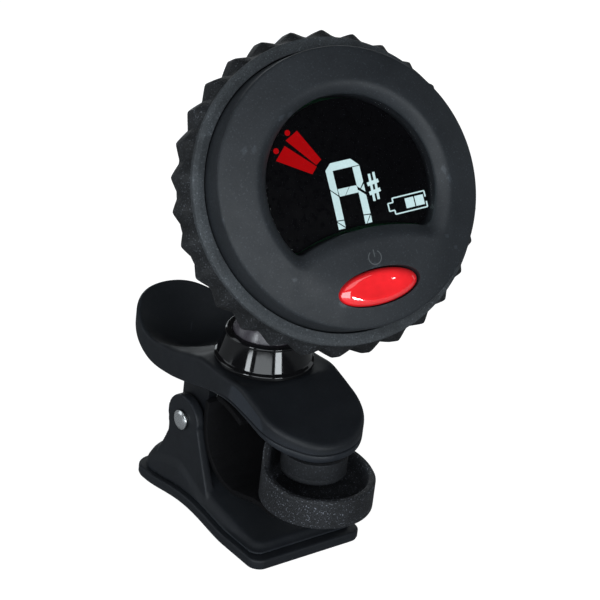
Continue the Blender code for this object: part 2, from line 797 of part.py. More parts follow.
def rear_housing(head):
    """The back shell: a shallow cup with the door's slot, the battery's round hole and the screws' holes."""
    joint_z = -2.0 * MM - GAP
    seat_r = CAP_R + 0.2 * MM
    floor_z = BACK_Z + DOOR_THICK + 1.2 * MM + GAP
    profile = [
        (0.0, floor_z),
        (BACK_R - 1.2 * MM, floor_z),
        (seat_r - SHELL_WALL - 0.4 * MM, floor_z + 2.2 * MM),
        (seat_r - SHELL_WALL, joint_z),
        (seat_r, joint_z),
        (seat_r, -RIM_DEPTH - GAP),
        (SHELL_R + 0.6 * MM, -RIM_DEPTH - GAP),
        (SHELL_R + 0.4 * MM, -RIM_DEPTH - 1.4 * MM),
        (BACK_R + 1.3 * MM, BACK_Z + 1.6 * MM),
        (BACK_R, BACK_Z + 0.45 * MM),
        (BACK_R - 1.4 * MM, BACK_Z),
        (0.0, BACK_Z),
    ]
    shell = add("rear_housing", revolved(profile), soft_black(), head)
    slot = box(
        (-DOOR_HALF, DOOR_LOW, BACK_Z - 2 * MM), (DOOR_HALF, 30 * MM, BACK_Z + DOOR_THICK + GAP)
    )
    boolean(shell, add("door_slot", slot, None, head, smooth=False))
    hole = cylinder(CELL_R + 0.35 * MM, BACK_Z - 3 * MM, -2 * MM, (0.0, CELL_Y), ROUND)
    boolean(shell, add("cell_hole", hole, None, head, smooth=False))
    for k, (x, y) in enumerate(screw_places()):
        hole = cylinder(1.15 * MM, BACK_Z - 3 * MM, -6 * MM, (x, y), 16)
        boolean(shell, add(f"screw_hole_{k}", hole, None, head, smooth=False))
    return shell


def battery_door(head):
    """The flat door that slides up out of its slot; its edge follows the back of the housing."""
    clear = 0.15 * MM
    half, low = DOOR_HALF - clear, DOOR_LOW + clear
    reach = BACK_R - 0.2 * MM
    top = math.degrees(math.acos(half / reach))
    outline = [(-half, low), (half, low), *arc((0.0, 0.0), reach, top, 180 - top, 20)]
    door = add("battery_door", prism(outline, BACK_Z, BACK_Z + DOOR_THICK), soft_black(), head, smooth=False)
    for k in range(3):
        y = 0.5 * MM + 1.6 * MM * k
        groove = box((-4 * MM, y - 0.35 * MM, BACK_Z - MM), (4 * MM, y + 0.35 * MM, BACK_Z + 0.4 * MM))
        boolean(door, add(f"grip_groove_{k}", groove, None, head, smooth=False))
    return door


def display_window(head):
    outline = window_outline(-0.2 * MM)
    lens = prism(outline, WINDOW_Z - 1.4 * MM, WINDOW_Z - 0.25 * MM)
    return add("display_window", lens, material("smoked_clear", (0.01, 0.01, 0.012), 0.05), head)


def lcd_panel(head):
    glass = prism(window_outline(-0.6 * MM), 2.2 * MM, 3.3 * MM)
    return add("lcd_panel", glass, material("display_glass", (0.02, 0.02, 0.025), 0.1), head)


def backlight_diffuser(head):
    sheet = prism(window_outline(-0.9 * MM), 0.7 * MM, 1.9 * MM)
    return add("backlight_diffuser", sheet, material("milky_white", (0.8, 0.82, 0.85), 0.5), head)


def circuit_board(head):
    board_z = -0.4 * MM
    board = cylinder(CAP_R - CAP_WALL - 0.4 * MM, board_z - MM, board_z, steps=ROUND)
    obj = add("circuit_board", board, material("board_green", (0.02, 0.12, 0.05), 0.5), head)
    for k, (x, y) in enumerate(screw_places()):
        notch = cylinder(2.0 * MM, -3 * MM, 2 * MM, (x, y), 20)
        boolean(obj, add(f"board_notch_{k}", notch, None, head, smooth=False))
    return obj


def tact_switch(head):
    base_z = -0.4 * MM + GAP
    half = 2.2 * MM
    body = [(-half, BUTTON_Y - half), (half, BUTTON_Y - half), (half, BUTTON_Y + half), (-half, BUTTON_Y + half)]
    obj = add("tact_switch", prism(body, base_z, base_z + 1.5 * MM), steel(), head, smooth=False)
    plunger = cylinder(1.0 * MM, base_z + MM, base_z + 2.0 * MM, (0.0, BUTTON_Y), 20)
    boolean(obj, add("switch_plunger", plunger, None, head, smooth=False), "UNION")
    return obj


def power_button(head):
    """An oval dome with a shallow thumb hollow; it slides in the bezel's hole on its own axis."""
    place = Matrix.Translation((0, BUTTON_Y, 0))
    a, b = BUTTON_HALF
    sides = [
        (1.0, 2.6 * MM),
        (1.0, 5.0 * MM),
        (0.955, 5.55 * MM),
        (0.84, 5.95 * MM),
        (0.62, 6.1 * MM),
        (0.3, 5.95 * MM),
    ]
    loops = [[(x, y, z) for x, y in oval(a * s, b * s, 0.0)] for s, z in sides]
    red = material("gloss_red", (0.75, 0.012, 0.02), 0.12)
    return add("power_button", loft(loops), red, head, place)


def coin_cell(head):
    low = BACK_Z + DOOR_THICK + GAP + 0.3 * MM
    cap = low + CELL_H
    profile = [
        (0.0, cap),
        (8.6 * MM, cap),
        (8.8 * MM, cap - 0.5 * MM),
        (CELL_R - 0.25 * MM, cap - 0.5 * MM),
        (CELL_R, cap - 0.8 * MM),
        (CELL_R, low + 0.25 * MM),
        (CELL_R - 0.25 * MM, low),
        (0.0, low),
    ]
    place = Matrix.Translation((0, CELL_Y, 0))
    return add("coin_cell", revolved(profile), steel(), head, place)


def battery_tray(head):
    """The cup round the cell, open to the back, which keeps it off the circuit board."""
    low = BACK_Z + DOOR_THICK + 1.2 * MM + 2 * GAP
    top = BACK_Z + DOOR_THICK + GAP + CELL_H + 1.7 * MM
    inner = CELL_R + 0.3 * MM
    profile = [
        (0.0, top + 0.9 * MM),
        (inner + 0.9 * MM, top + 0.9 * MM),
        (inner + 0.9 * MM, low),
        (inner, low),
        (inner, top),
        (0.0, top),
    ]
    place = Matrix.Translation((0, CELL_Y, 0))
    tray = add("battery_tray", revolved(profile), hard_black(), head, place)
    slot = box((-inner - 3 * MM, -1.6 * MM, low - MM), (-inner + 1.2 * MM, 1.6 * MM, top))
    boolean(tray, add("contact_slot", slot, None, head, place, smooth=False))
    return tray


def contact_negative(head):
    """A sprung leaf over the cell's small face."""
    low = BACK_Z + DOOR_THICK + GAP + 0.3 * MM + CELL_H + 0.1 * MM
    thick = 0.3 * MM
    points = [(-6.0 * MM, low + 0.75 * MM), (-2.0 * MM, low + 0.6 * MM), (1.0 * MM, low + 0.15 * MM)]
    points += [(3.0 * MM, low + 0.15 * MM), (5.0 * MM, low + 0.5 * MM)]
    leaf = strip(points, thick, 1.8 * MM)
    return add("contact_negative", leaf, steel(), head, Matrix.Translation((0, CELL_Y, 0)), smooth=False)


def contact_positive(head):
    """A bent tab beside the cell's rim, in the tray's slot."""
    low = BACK_Z + DOOR_THICK + 1.2 * MM + 3 * GAP
    x = -CELL_R - 0.3 * MM
    tab = box((x - 0.6 * MM, CELL_Y - 1.3 * MM, low), (x - 0.25 * MM, CELL_Y + 1.3 * MM, low + 2.6 * MM))
    return add("contact_positive", tab, steel(), head, smooth=False)


def piezo_disc(head):
    """The vibration sensor, glued inside the back wall over the stem's foot."""
    low = BACK_Z + DOOR_THICK + 1.2 * MM + 2 * GAP
    profile = [
        (0.0, low + 0.55 * MM),
        (3.2 * MM, low + 0.55 * MM),
        (3.2 * MM, low + 0.3 * MM),
        (4.5 * MM, low + 0.3 * MM),
        (4.5 * MM, low),
        (0.0, low),
    ]
    place = Matrix.Translation((0, BOSS_Y, 0))
    return add("piezo_disc", revolved(profile, 24), material("brass", (0.72, 0.53, 0.22), 0.3, 1.0), head, place)


def housing_screws(head):
    """Four cross-head screws from the back into the bezel's posts."""
    profile = [
        (0.0, -4.5 * MM),
        (0.7 * MM, -4.8 * MM),
        (0.7 * MM, -11.4 * MM),
        (1.0 * MM, -11.6 * MM),
        (1.0 * MM, BACK_Z + 0.7 * MM),
        (0.0, BACK_Z + 0.7 * MM),
    ]
    for k, (x, y) in enumerate(screw_places()):
        place = Matrix.Translation((x, y, 0))
        add(f"housing_screw_{k + 1}", revolved(profile, 20), steel(), head, place)


def head_axes():
    yaw = Matrix.Rotation(HEAD_YAW, 4, "Z")
    right = yaw @ Vector((1, 0, 0))
    out = yaw @ Vector((0, -math.cos(HEAD_PITCH), math.sin(HEAD_PITCH)))
    up = out.cross(right)
    rolled_right = right * math.cos(HEAD_ROLL) + up * math.sin(HEAD_ROLL)
    rolled_up = out.cross(rolled_right)
    axes = Matrix((rolled_right, rolled_up, out)).transposed().to_4x4()
    return Matrix.Translation(HEAD_CENTRE) @ axes


def aimed(direction):
    """Axes whose Z runs along the direction."""
    return direction.to_track_quat("Z", "Y").to_matrix().to_4x4()


def centre_on_base(root):
    """Moves the whole tuner so that its origin is under the middle of its box, on the surface."""
    bpy.context.view_layer.update()
    graph = bpy.context.evaluated_depsgraph_get()
    corners = []
    for obj in bpy.data.objects:
        if obj.type == "EMPTY" or obj.hide_render:
            continue
        evaluated = obj.evaluated_get(graph)
        mesh = evaluated.to_mesh()
        corners += [evaluated.matrix_world @ v.co for v in mesh.vertices]
        evaluated.to_mesh_clear()
    for axis in (0, 1):
        values = [c[axis] for c in corners]
        root.location[axis] = -(min(values) + max(values)) / 2
    root.location.z = -min(c.z for c in corners)
    bpy.context.view_layer.update()


def main():
    clear_scene()
    root = empty("clip_base", Matrix.Identity(4))
    pivot = empty(PIVOT, Matrix.Translation((0, 0, PIN_Z)))
    pivot.parent = root
    joint = empty("ball_joint", Matrix.Translation(SOCKET))
    joint.parent = root
    head = empty("head_frame", head_axes())
    head.parent = root

    lower_lever_sole(root)
    lower_lever_body(root)
    pivot_pin(root)
    torsion_spring(root)
    jaw_liner_lower(root)
    lower_jaw_cup(root)

    upper_lever_shell(pivot)
    upper_lever_frame(pivot)
    jaw_liner_upper(pivot)
    upper_jaw_pad(pivot)

    socket_collar(joint)
    ball_seat(joint)
    foot = head_axes() @ Vector((0.0, BOSS_Y, BACK_Z))
    lead = foot - SOCKET
    reach = lead.length
    ball_stud(joint, aimed(lead))
    stem = stem_arm(joint, aimed(lead), reach + 1.0 * MM)
    trim = box((-9 * MM, BOSS_Y - 9 * MM, BACK_Z - GAP), (9 * MM, BOSS_Y + 9 * MM, BACK_Z + 8 * MM))
    boolean(stem, add("stem_foot_trim", trim, None, head, smooth=False))

    front_bezel(head)
    scalloped_rim(head)
    rear_housing(head)
    battery_door(head)
    display_window(head)
    lcd_panel(head)
    backlight_diffuser(head)
    circuit_board(head)
    tact_switch(head)
    power_button(head)
    coin_cell(head)
    battery_tray(head)
    contact_negative(head)
    contact_positive(head)
    piezo_disc(head)
    housing_screws(head)
    centre_on_base(root)


main()
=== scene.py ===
"""Looks for the clip-on tuner: fine meshes, materials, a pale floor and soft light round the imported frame.

Lengths below are in millimetres until place() bakes a mesh into the row frame, which is in metres.
"""

import math

import bmesh
import bpy
from mathutils import Matrix, Vector


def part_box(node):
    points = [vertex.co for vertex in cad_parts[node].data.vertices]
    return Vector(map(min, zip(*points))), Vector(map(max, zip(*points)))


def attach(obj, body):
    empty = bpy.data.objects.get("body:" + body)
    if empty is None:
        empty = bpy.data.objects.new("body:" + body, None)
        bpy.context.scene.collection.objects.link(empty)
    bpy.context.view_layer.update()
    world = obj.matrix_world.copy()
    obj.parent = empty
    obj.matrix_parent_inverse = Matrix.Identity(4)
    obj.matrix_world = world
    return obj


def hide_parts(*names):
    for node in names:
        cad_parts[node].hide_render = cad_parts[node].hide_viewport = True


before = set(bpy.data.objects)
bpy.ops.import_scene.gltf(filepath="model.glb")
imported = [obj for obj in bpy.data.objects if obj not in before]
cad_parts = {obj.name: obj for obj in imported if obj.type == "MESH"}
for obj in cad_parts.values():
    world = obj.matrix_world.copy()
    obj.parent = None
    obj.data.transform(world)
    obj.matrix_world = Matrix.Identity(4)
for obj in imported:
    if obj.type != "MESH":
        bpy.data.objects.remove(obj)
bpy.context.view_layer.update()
MM = 0.001


def middle(node):
    low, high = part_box(node)
    return (low + high) / 2


# ---- the three working frames, in millimetres ---------------------------------------------------------

PIN = middle("pivot_pin")
CLIP = Matrix.Translation((PIN.x, PIN.y, 0)) @ Matrix.Scale(MM, 4)
SOCKET = Vector((0, -7.6, 31.2))
BALL = CLIP @ Matrix.Translation(SOCKET)
HEAD_AT = Vector((-4.6, -25.7, 65.0))
YAW, PITCH, ROLL = (math.radians(a) for a in (-12.1, 31.7, 7.2))


def head_axes():
    yaw = Matrix.Rotation(YAW, 4, "Z")
    right = yaw @ Vector((1, 0, 0))
    out = yaw @ Vector((0, -math.cos(PITCH), math.sin(PITCH)))
    up = out.cross(right)
    rolled = right * math.cos(ROLL) + up * math.sin(ROLL)
    axes = Matrix((rolled, out.cross(rolled), out)).transposed().to_4x4()
    return Matrix.Translation(HEAD_AT) @ axes


HEAD = CLIP @ head_axes()
PIN_Z = 14.6
BACK_Z = -13.0
BOSS_Y = -11.5
FOOT = head_axes() @ Vector((0, BOSS_Y, BACK_Z))
LEAD = FOOT - SOCKET
STEM = BALL @ LEAD.to_track_quat("Z", "Y").to_matrix().to_4x4()
REACH = LEAD.length

# ---- materials ----------------------------------------------------------------------------------------


def nodes_of(name):
    mat = bpy.data.materials.new(name)
    mat.use_nodes = True
    return mat, mat.node_tree, mat.node_tree.nodes["Principled BSDF"]


def noise(tree, size_mm, detail=2.0, rough=0.55):
    """Noise whose features are about the given size, fixed to the piece."""
    where = tree.nodes.new("ShaderNodeTexCoord")
    tex = tree.nodes.new("ShaderNodeTexNoise")
    tex.inputs["Scale"].default_value = 1 / (size_mm * MM)
    tex.inputs["Detail"].default_value = detail
    tex.inputs["Roughness"].default_value = rough
    tree.links.new(where.outputs["Object"], tex.inputs["Vector"])
    return tex.outputs["Fac"]


def ranged(tree, source, low, high, at=(0.3, 0.7)):
    node = tree.nodes.new("ShaderNodeMapRange")
    node.inputs["From Min"].default_value, node.inputs["From Max"].default_value = at
    node.inputs["To Min"].default_value, node.inputs["To Max"].default_value = low, high
    tree.links.new(source, node.inputs["Value"])
    return node.outputs["Result"]


def maths(tree, kind, a, b):
    node = tree.nodes.new("ShaderNodeMath")
    node.operation = kind
    for slot, value in zip(node.inputs, (a, b)):
        if isinstance(value, (int, float)):
            slot.default_value = value
        else:
            tree.links.new(value, slot)
    return node.outputs[0]


def tinted(tree, colour, factor):
    """The colour made lighter or darker by a factor socket."""
    node = tree.nodes.new("ShaderNodeVectorMath")
    node.operation = "SCALE"
    node.inputs[0].default_value = colour
    tree.links.new(factor, node.inputs["Scale"])
    return node.outputs["Vector"]


def bumped(tree, shader, heights):
    """Adds height sockets one on another as bump, each (socket, depth in mm, strength)."""
    last = None
    for socket, depth, strength in heights:
        node = tree.nodes.new("ShaderNodeBump")
        node.inputs["Distance"].default_value = depth * MM
        node.inputs["Strength"].default_value = strength
        tree.links.new(socket, node.inputs["Height"])
        if last:
            tree.links.new(last, node.inputs["Normal"])
        last = node.outputs["Normal"]
    tree.links.new(last, shader.inputs["Normal"])


def edge_wear_and_highlight_mask(tree, start=0.52, end=0.6):
    """Near 1 on convex edges, where handling rubs a surface; the lightening it drives is part real wear, part
    painted edge highlight.
    """
    geometry = tree.nodes.new("ShaderNodeNewGeometry")
    return ranged(tree, geometry.outputs["Pointiness"], 0.0, 1.0, (start, end))


def finish_of(name, colour, rough, grain=0.25, depth=0.02, mottle=0.12, wear_and_edge_highlight=0.25, painted_glint=0.0, specular=0.5):
    """A moulded surface: mottling, fine grain in colour, roughness and bump, edges lightened as part rubbed
    wear and part painted edge highlight, and light specks that are painted glints.
    """
    mat, tree, shader = nodes_of(name)
    cloud = ranged(tree, noise(tree, 6.0, 3), 1 - mottle, 1 + mottle)
    fine = noise(tree, grain, 3, 0.65)
    speck = ranged(tree, fine, 1 - mottle, 1 + mottle)
    edge = edge_wear_and_highlight_mask(tree)
    # part wear, part painted highlight: convex edges are lightened to stand in for rubbing and for the light
    # that rounded edges catch
    lift = maths(tree, "MULTIPLY_ADD", edge, wear_and_edge_highlight)
    lift.node.inputs[2].default_value = 1.0
    factor = maths(tree, "MULTIPLY", maths(tree, "MULTIPLY", cloud, speck), lift)
    # painted glints: sparse specks lightened in the base colour stand in for sparkling highlights on the grain
    painted_glints = ranged(tree, noise(tree, 0.26, 1), 1.0, 1.0 + painted_glint, (0.62, 0.72))
    factor = maths(tree, "MULTIPLY", factor, painted_glints)
    tree.links.new(tinted(tree, colour, factor), shader.inputs["Base Color"])
    smear = ranged(tree, noise(tree, 2.4, 4), rough - 0.06, rough + 0.06)
    rubbed = maths(tree, "MULTIPLY", edge, 0.12)
    tree.links.new(maths(tree, "SUBTRACT", smear, rubbed), shader.inputs["Roughness"])
    wide = noise(tree, grain * 5, 2)
    bumped(tree, shader, [(wide, depth * 0.6, 0.3), (fine, depth, 0.6)])
    shader.inputs["Specular IOR Level"].default_value = specular
    return mat


def metal_of(name, colour, rough, along=(1, 1, 1), worn=0.12):
    """Bright or turned metal: fine drawn lines along one axis, light scratches and a few duller patches."""
    mat, tree, shader = nodes_of(name)
    where = tree.nodes.new("ShaderNodeTexCoord")
    stretch = tree.nodes.new("ShaderNodeMapping")
    stretch.inputs["Scale"].default_value = along
    lines = tree.nodes.new("ShaderNodeTexNoise")
    lines.inputs["Scale"].default_value = 1 / (0.12 * MM)
    lines.inputs["Detail"].default_value = 4
    tree.links.new(where.outputs["Object"], stretch.inputs["Vector"])
    tree.links.new(stretch.outputs["Vector"], lines.inputs["Vector"])
    shader.inputs["Metallic"].default_value = 1.0
    patches = ranged(tree, noise(tree, 2.0, 4), 1 - worn, 1 + worn * 0.3)
    tree.links.new(tinted(tree, colour, patches), shader.inputs["Base Color"])
    tree.links.new(ranged(tree, lines.outputs["Fac"], rough - 0.07, rough + 0.1), shader.inputs["Roughness"])
    bumped(tree, shader, [(lines.outputs["Fac"], 0.006, 0.5)])
    return mat


def gloss_of(name, colour, rough=0.08, **extra):
    """A polished moulding: near-even colour, faint swirl in the polish and the odd hairline."""
    mat, tree, shader = nodes_of(name)
    cloud = ranged(tree, noise(tree, 3.0, 2), 0.92, 1.08)
    tree.links.new(tinted(tree, colour, cloud), shader.inputs["Base Color"])
    tree.links.new(ranged(tree, noise(tree, 0.9, 4), rough * 0.7, rough * 1.5), shader.inputs["Roughness"])
    bumped(tree, shader, [(noise(tree, 2.2, 1), 0.02, 0.15), (noise(tree, 0.3, 3), 0.001, 0.3)])
    for key, value in extra.items():
        shader.inputs[key.replace("_", " ")].default_value = value
    return mat


def glow_of(name, colour, strength, cell=0.35):
    """A lit display figure: even light with the faint cell pattern and falloff of a liquid-crystal segment."""
    mat, tree, shader = nodes_of(name)
    fine = ranged(tree, noise(tree, cell, 2), 0.95, 1.03)
    cloud = ranged(tree, noise(tree, 4.0, 1), 0.94, 1.03)
    level = maths(tree, "MULTIPLY", fine, cloud)
    tree.links.new(tinted(tree, colour, level), shader.inputs["Emission Color"])
    shader.inputs["Emission Strength"].default_value = strength
    shader.inputs["Base Color"].default_value = (0.001, 0.001, 0.001, 1)
    shader.inputs["Specular IOR Level"].default_value = 0.02
    return mat


# In each finish_of call, the fifth number after the colour lightens edges (wear plus painted edge highlight)
# and the sixth sets the strength of painted glints.
SOFT = finish_of("soft_touch_shell", (0.0075, 0.0088, 0.0112), 0.54, 0.3, 0.014, 0.12, 1.6, 0.5, 0.26)
FACE = finish_of("soft_touch_face", (0.0155, 0.0178, 0.021), 0.55, 0.28, 0.02, 0.12, 0.8, 0.9, 0.3)
HARD = finish_of("moulded_nylon", (0.006, 0.0068, 0.0085), 0.46, 0.35, 0.02, 0.1, 0.5, 0.0, 0.3)
RUBBER = finish_of("grip_rubber", (0.009, 0.0097, 0.011), 0.62, 0.24, 0.15, 0.5, 0.9, 5.0, 0.25)
# painted light: a lighter copy of the grip rubber, standing in for the light falling on the rim's top lip
LIP_PAINTED_LIGHT = finish_of("grip_rubber_lip_painted_light", (0.036, 0.040, 0.044), 0.66, 0.24, 0.05, 0.3, 0.3, 1.2, 0.25)
PAD = finish_of("jaw_rubber", (0.011, 0.0118, 0.0138), 0.58, 0.24, 0.16, 0.5, 0.9, 9.0, 0.32)
PUCK = finish_of("pad_rubber", (0.0075, 0.0083, 0.010), 0.66, 0.26, 0.08, 0.35, 0.6, 1.2, 0.26)
# painted shade: the jaw liners are coloured near black, darker than the rubber, to stand in for the shade
# inside the clip's mouth
BAND_PAINTED_SHADE = finish_of("band_rubber_painted_shade", (0.003, 0.003, 0.0035), 0.8, 0.3, 0.05, 0.3, 0.3, 0.0, 0.1)
GLOSS = gloss_of("polished_collar", (0.004, 0.004, 0.0045), 0.07)
BALL_MAT = finish_of("ball_acetal", (0.045, 0.040, 0.048), 0.28, 0.4, 0.006, 0.1, 0.3)
RED = gloss_of("button_red", (0.94, 0.02, 0.026), 0.07, Coat_Weight=1.0, Coat_IOR=1.9)
STEEL = metal_of("bright_steel", (0.78, 0.8, 0.81), 0.24, (1, 1, 6))
BRASS = metal_of("sensor_brass", (0.72, 0.53, 0.22), 0.3)
BOARD = finish_of("solder_mask", (0.012, 0.1, 0.035), 0.4, 0.5, 0.02, 0.25, 0.2)
MILKY = finish_of("light_guide", (0.78, 0.81, 0.84), 0.5, 0.4, 0.01, 0.04, 0.0)
PANEL = gloss_of("display_black", (0.001, 0.001, 0.0012), 0.3, Specular_IOR_Level=0.1)
PRINT = finish_of("grey_print", (0.065, 0.072, 0.077), 0.5, 0.15, 0.006, 0.12, 0.0)
WHITE_LIT = glow_of("figure_white", (0.72, 0.97, 1.0), 1.3)
RED_LIT = glow_of("figure_red", (0.58, 0.0006, 0.002), 1.0)


def window_material():
    """Smoked clear acrylic, thin enough that what is behind it shows straight through."""
    mat = gloss_of("smoked_window", (0.004, 0.004, 0.005), 0.04)
    mat.node_tree.nodes["Principled BSDF"].inputs["Alpha"].default_value = 0.22
    return mat


WINDOW = window_material()

# ---- mesh helpers ---------------------------------------------------------------------------------------


def place(name, bm, matrix, mat, body, *stands_for, flat=False, sharp=32):
    """Bakes a bmesh into the row frame as one piece that rides on a body and stands for CAD nodes."""
    bmesh.ops.remove_doubles(bm, verts=bm.verts, dist=1e-4)
    bmesh.ops.transform(bm, matrix=matrix, verts=bm.verts)
    bmesh.ops.recalc_face_normals(bm, faces=bm.faces)
    mesh = bpy.data.meshes.new(name)
    bm.to_mesh(mesh)
    bm.free()
    obj = bpy.data.objects.new(name, mesh)
    bpy.context.scene.collection.objects.link(obj)
    if mat:
        mesh.materials.append(mat)
    if not flat:
        mesh.shade_smooth()
        mesh.set_sharp_from_angle(angle=math.radians(sharp))
    if body:
        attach(obj, body)
    if stands_for:
        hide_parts(*stands_for)
    return obj


def cutter(bm, matrix):
    return place("cutter", bm, matrix, None, None, flat=True)


def carve(obj, *others, operation="DIFFERENCE", sharp=32):
    """Applies Booleans with throwaway cutters."""
    for other in others:
        modifier = obj.modifiers.new("carve", "BOOLEAN")
        modifier.operation, modifier.solver, modifier.object = operation, "EXACT", other
        apply_all(obj)
        bpy.data.objects.remove(other)
    obj.data.shade_smooth()
    obj.data.set_sharp_from_angle(angle=math.radians(sharp))
    return obj


def apply_all(obj):
    graph = bpy.context.evaluated_depsgraph_get()
    baked = bpy.data.meshes.new_from_object(obj.evaluated_get(graph))
    obj.modifiers.clear()
    obj.data = baked


def melted(obj, voxel, passes, sharp=40):
    """Remeshes a joined shape and relaxes it, so that its pieces flow into each other with small fillets."""
    modifier = obj.modifiers.new("remesh", "REMESH")
    modifier.mode, modifier.voxel_size = "VOXEL", voxel * MM
    relax = obj.modifiers.new("relax", "SMOOTH")
    relax.factor, relax.iterations = 0.5, passes
    apply_all(obj)
    obj.data.shade_smooth()
    obj.data.set_sharp_from_angle(angle=math.radians(sharp))
    return obj


def fillet(points, radius, closed=False, steps=4):
    """Rounds the corners of a polyline; radius is one number or one for each point."""
    radii = radius if isinstance(radius, (list, tuple)) else [radius] * len(points)
    out = []
    last = len(points) - 1
    for k, (here, r) in enumerate(zip(points, radii)):
        if r <= 0 or (not closed and k in (0, last)):
            out.append(here)
            continue
        p = Vector(here)
        a = Vector(points[k - 1]) - p
        b = Vector(points[(k + 1) % len(points)]) - p
        turn = a.angle(b)
        if turn > math.pi - 0.02 or turn < 0.02:
            out.append(here)
            continue
        back = min(r / math.tan(turn / 2), a.length * 0.49, b.length * 0.49)
        start, end = p + a.normalized() * back, p + b.normalized() * back
        for i in range(steps + 1):
            t = i / steps
            point = start * (1 - t) ** 2 + p * 2 * t * (1 - t) + end * t * t
            out.append(tuple(point))
    return out


def turned(profile, steps=160):
    """A closed body from an (r, z) profile turned about Z; ends on the axis are closed to a point."""
    bm = bmesh.new()
    rows = []
    for r, z in profile:
        if r < 1e-6:
            rows.append([bm.verts.new((0, 0, z))] * steps)
        else:
            angles = [2 * math.pi * k / steps for k in range(steps)]
            rows.append([bm.verts.new((r * math.cos(a), r * math.sin(a), z)) for a in angles])
    pairs = list(zip(rows, rows[1:]))
    if profile[0][0] > 1e-6 or profile[-1][0] > 1e-6:
        pairs.append((rows[-1], rows[0]))
    for low, high in pairs:
        quads(bm, low, high)
    return bm


def quads(bm, low, high):
    """Faces between two rings of equal length, as triangles where a side has shrunk to a point."""
    for k in range(len(low)):
        nxt = (k + 1) % len(low)
        corners = []
        for v in (low[k], low[nxt], high[nxt], high[k]):
            if v not in corners:
                corners.append(v)
        if len(corners) > 2:
            bm.faces.new(corners)


def loft(loops, caps=True):
    """A body through loops of equal length, each a list of (x, y, z)."""
    bm = bmesh.new()
    rows = [[bm.verts.new(p) for p in loop] for loop in loops]
    for low, high in zip(rows, rows[1:]):
        quads(bm, low, high)
    if caps:
        bm.faces.new(rows[0][::-1])
        bm.faces.new(rows[-1])
    else:
        quads(bm, rows[-1], rows[0])
    return bm


def slab(outline, low, high, edge=0.0, steps=3):
    """An outline of (x, y) between two heights, its two rims rounded by drawing the outline in."""
    if not edge:
        return loft([[(x, y, z) for x, y in outline] for z in (low, high)])
    rings = []
    for k in range(steps + 1):
        a = math.pi / 2 * k / steps
        rings.append((edge * (1 - math.sin(a)), inward(outline, edge * (1 - math.cos(a)))))
    loops = [[(x, y, low + drop) for x, y in ring] for drop, ring in rings[::-1]]
    loops += [[(x, y, high - drop) for x, y in ring] for drop, ring in rings]
    return loft(loops)


def inward(outline, amount):
    """A closed outline moved in along its corner normals."""
    if not amount:
        return outline
    count = len(outline)
    pairs = zip(outline, outline[1:] + outline[:1])
    area = sum(a[0] * b[1] - b[0] * a[1] for a, b in pairs)
    sign = 1 if area > 0 else -1
    out = []
    for k in range(count):
        before, here, after = Vector(outline[k - 1]), Vector(outline[k]), Vector(outline[(k + 1) % count])
        a, b = (here - before), (after - here)
        if a.length < 1e-9 or b.length < 1e-9:
            out.append(tuple(here))
            continue
        normal = (Vector((-a.y, a.x)).normalized() + Vector((-b.y, b.x)).normalized()).normalized()
        out.append(tuple(here + normal * amount * sign))
    return out


def arc(centre, radius, start, end, steps):
    angles = (math.radians(start + (end - start) * k / steps) for k in range(steps + 1))
    return [(centre[0] + radius * math.cos(a), centre[1] + radius * math.sin(a)) for a in angles]


def oval(half_x, half_y, steps=128, centre=(0, 0)):
    turns = [2 * math.pi / steps * k for k in range(steps)]
    return [(centre[0] + half_x * math.cos(a), centre[1] + half_y * math.sin(a)) for a in turns]


def box(low, high):
    bm = bmesh.new()
    size = Vector(high) - Vector(low)
    at = Matrix.Translation((Vector(high) + Vector(low)) / 2)
    bmesh.ops.create_cube(bm, size=1.0, matrix=at @ Matrix.Diagonal((*size, 1.0)))
    return bm


def along_x(bm):
    """Turns a body built with (y, z) as its outline and x as its height into the clip's axes."""
    turn = Matrix(((0, 0, 1, 0), (1, 0, 0, 0), (0, 1, 0, 0), (0, 0, 0, 1)))
    bmesh.ops.transform(bm, matrix=turn, verts=bm.verts)
    return bm


PIN_AXES = Matrix.Translation((0, 0, PIN_Z)) @ Matrix.Rotation(math.pi / 2, 4, "Y")

# ---- head -------------------------------------------------------------------------------------------------

CAP_R, CROWN = 20.4, 6.3
WINDOW_R, WINDOW_Z, BEVEL = 13.4, 5.0, 1.9
SILL_PEAK, SILL_R = -6.2, 30.0
BUTTON_Y, BUTTON_A, BUTTON_B = -14.7, 6.5, 2.55
SCREWS = [(16.5 * math.cos(math.radians(a)), 16.5 * math.sin(math.radians(a))) for a in (38, 142, 218, 322)]


def face_height(r):
    """The front face: level in the middle, then falling as a shallow cone to the shoulder."""
    return CROWN - 0.41 * 1.0 * math.log1p(math.exp((r - 15.4) / 1.0))


def window_outline(grow, fine=1):
    """The window: most of a circle over a sill that bulges upward, with rounded lower corners."""
    radius, sill_r = WINDOW_R + grow, SILL_R - grow
    sill_y = SILL_PEAK - SILL_R
    corner = 1.5 + 0.3 * grow
    big, small = radius - corner, sill_r + corner
    y = (big**2 - small**2 + sill_y**2) / (2 * sill_y)
    x = math.sqrt(big**2 - y**2)
    outer = math.degrees(math.atan2(y, x))
    sill = math.degrees(math.atan2(y - sill_y, x))
    right = arc((x, y), corner, sill + 180, outer + 360, 14 * fine)
    bottom = arc((0, sill_y), sill_r, 180 - sill, sill, 48 * fine)
    top = arc((0, 0), radius, outer, 180 - outer, 170 * fine)
    left = [(-a, b) for a, b in reversed(right)]
    return bottom[1:-1] + right + top[1:-1] + left


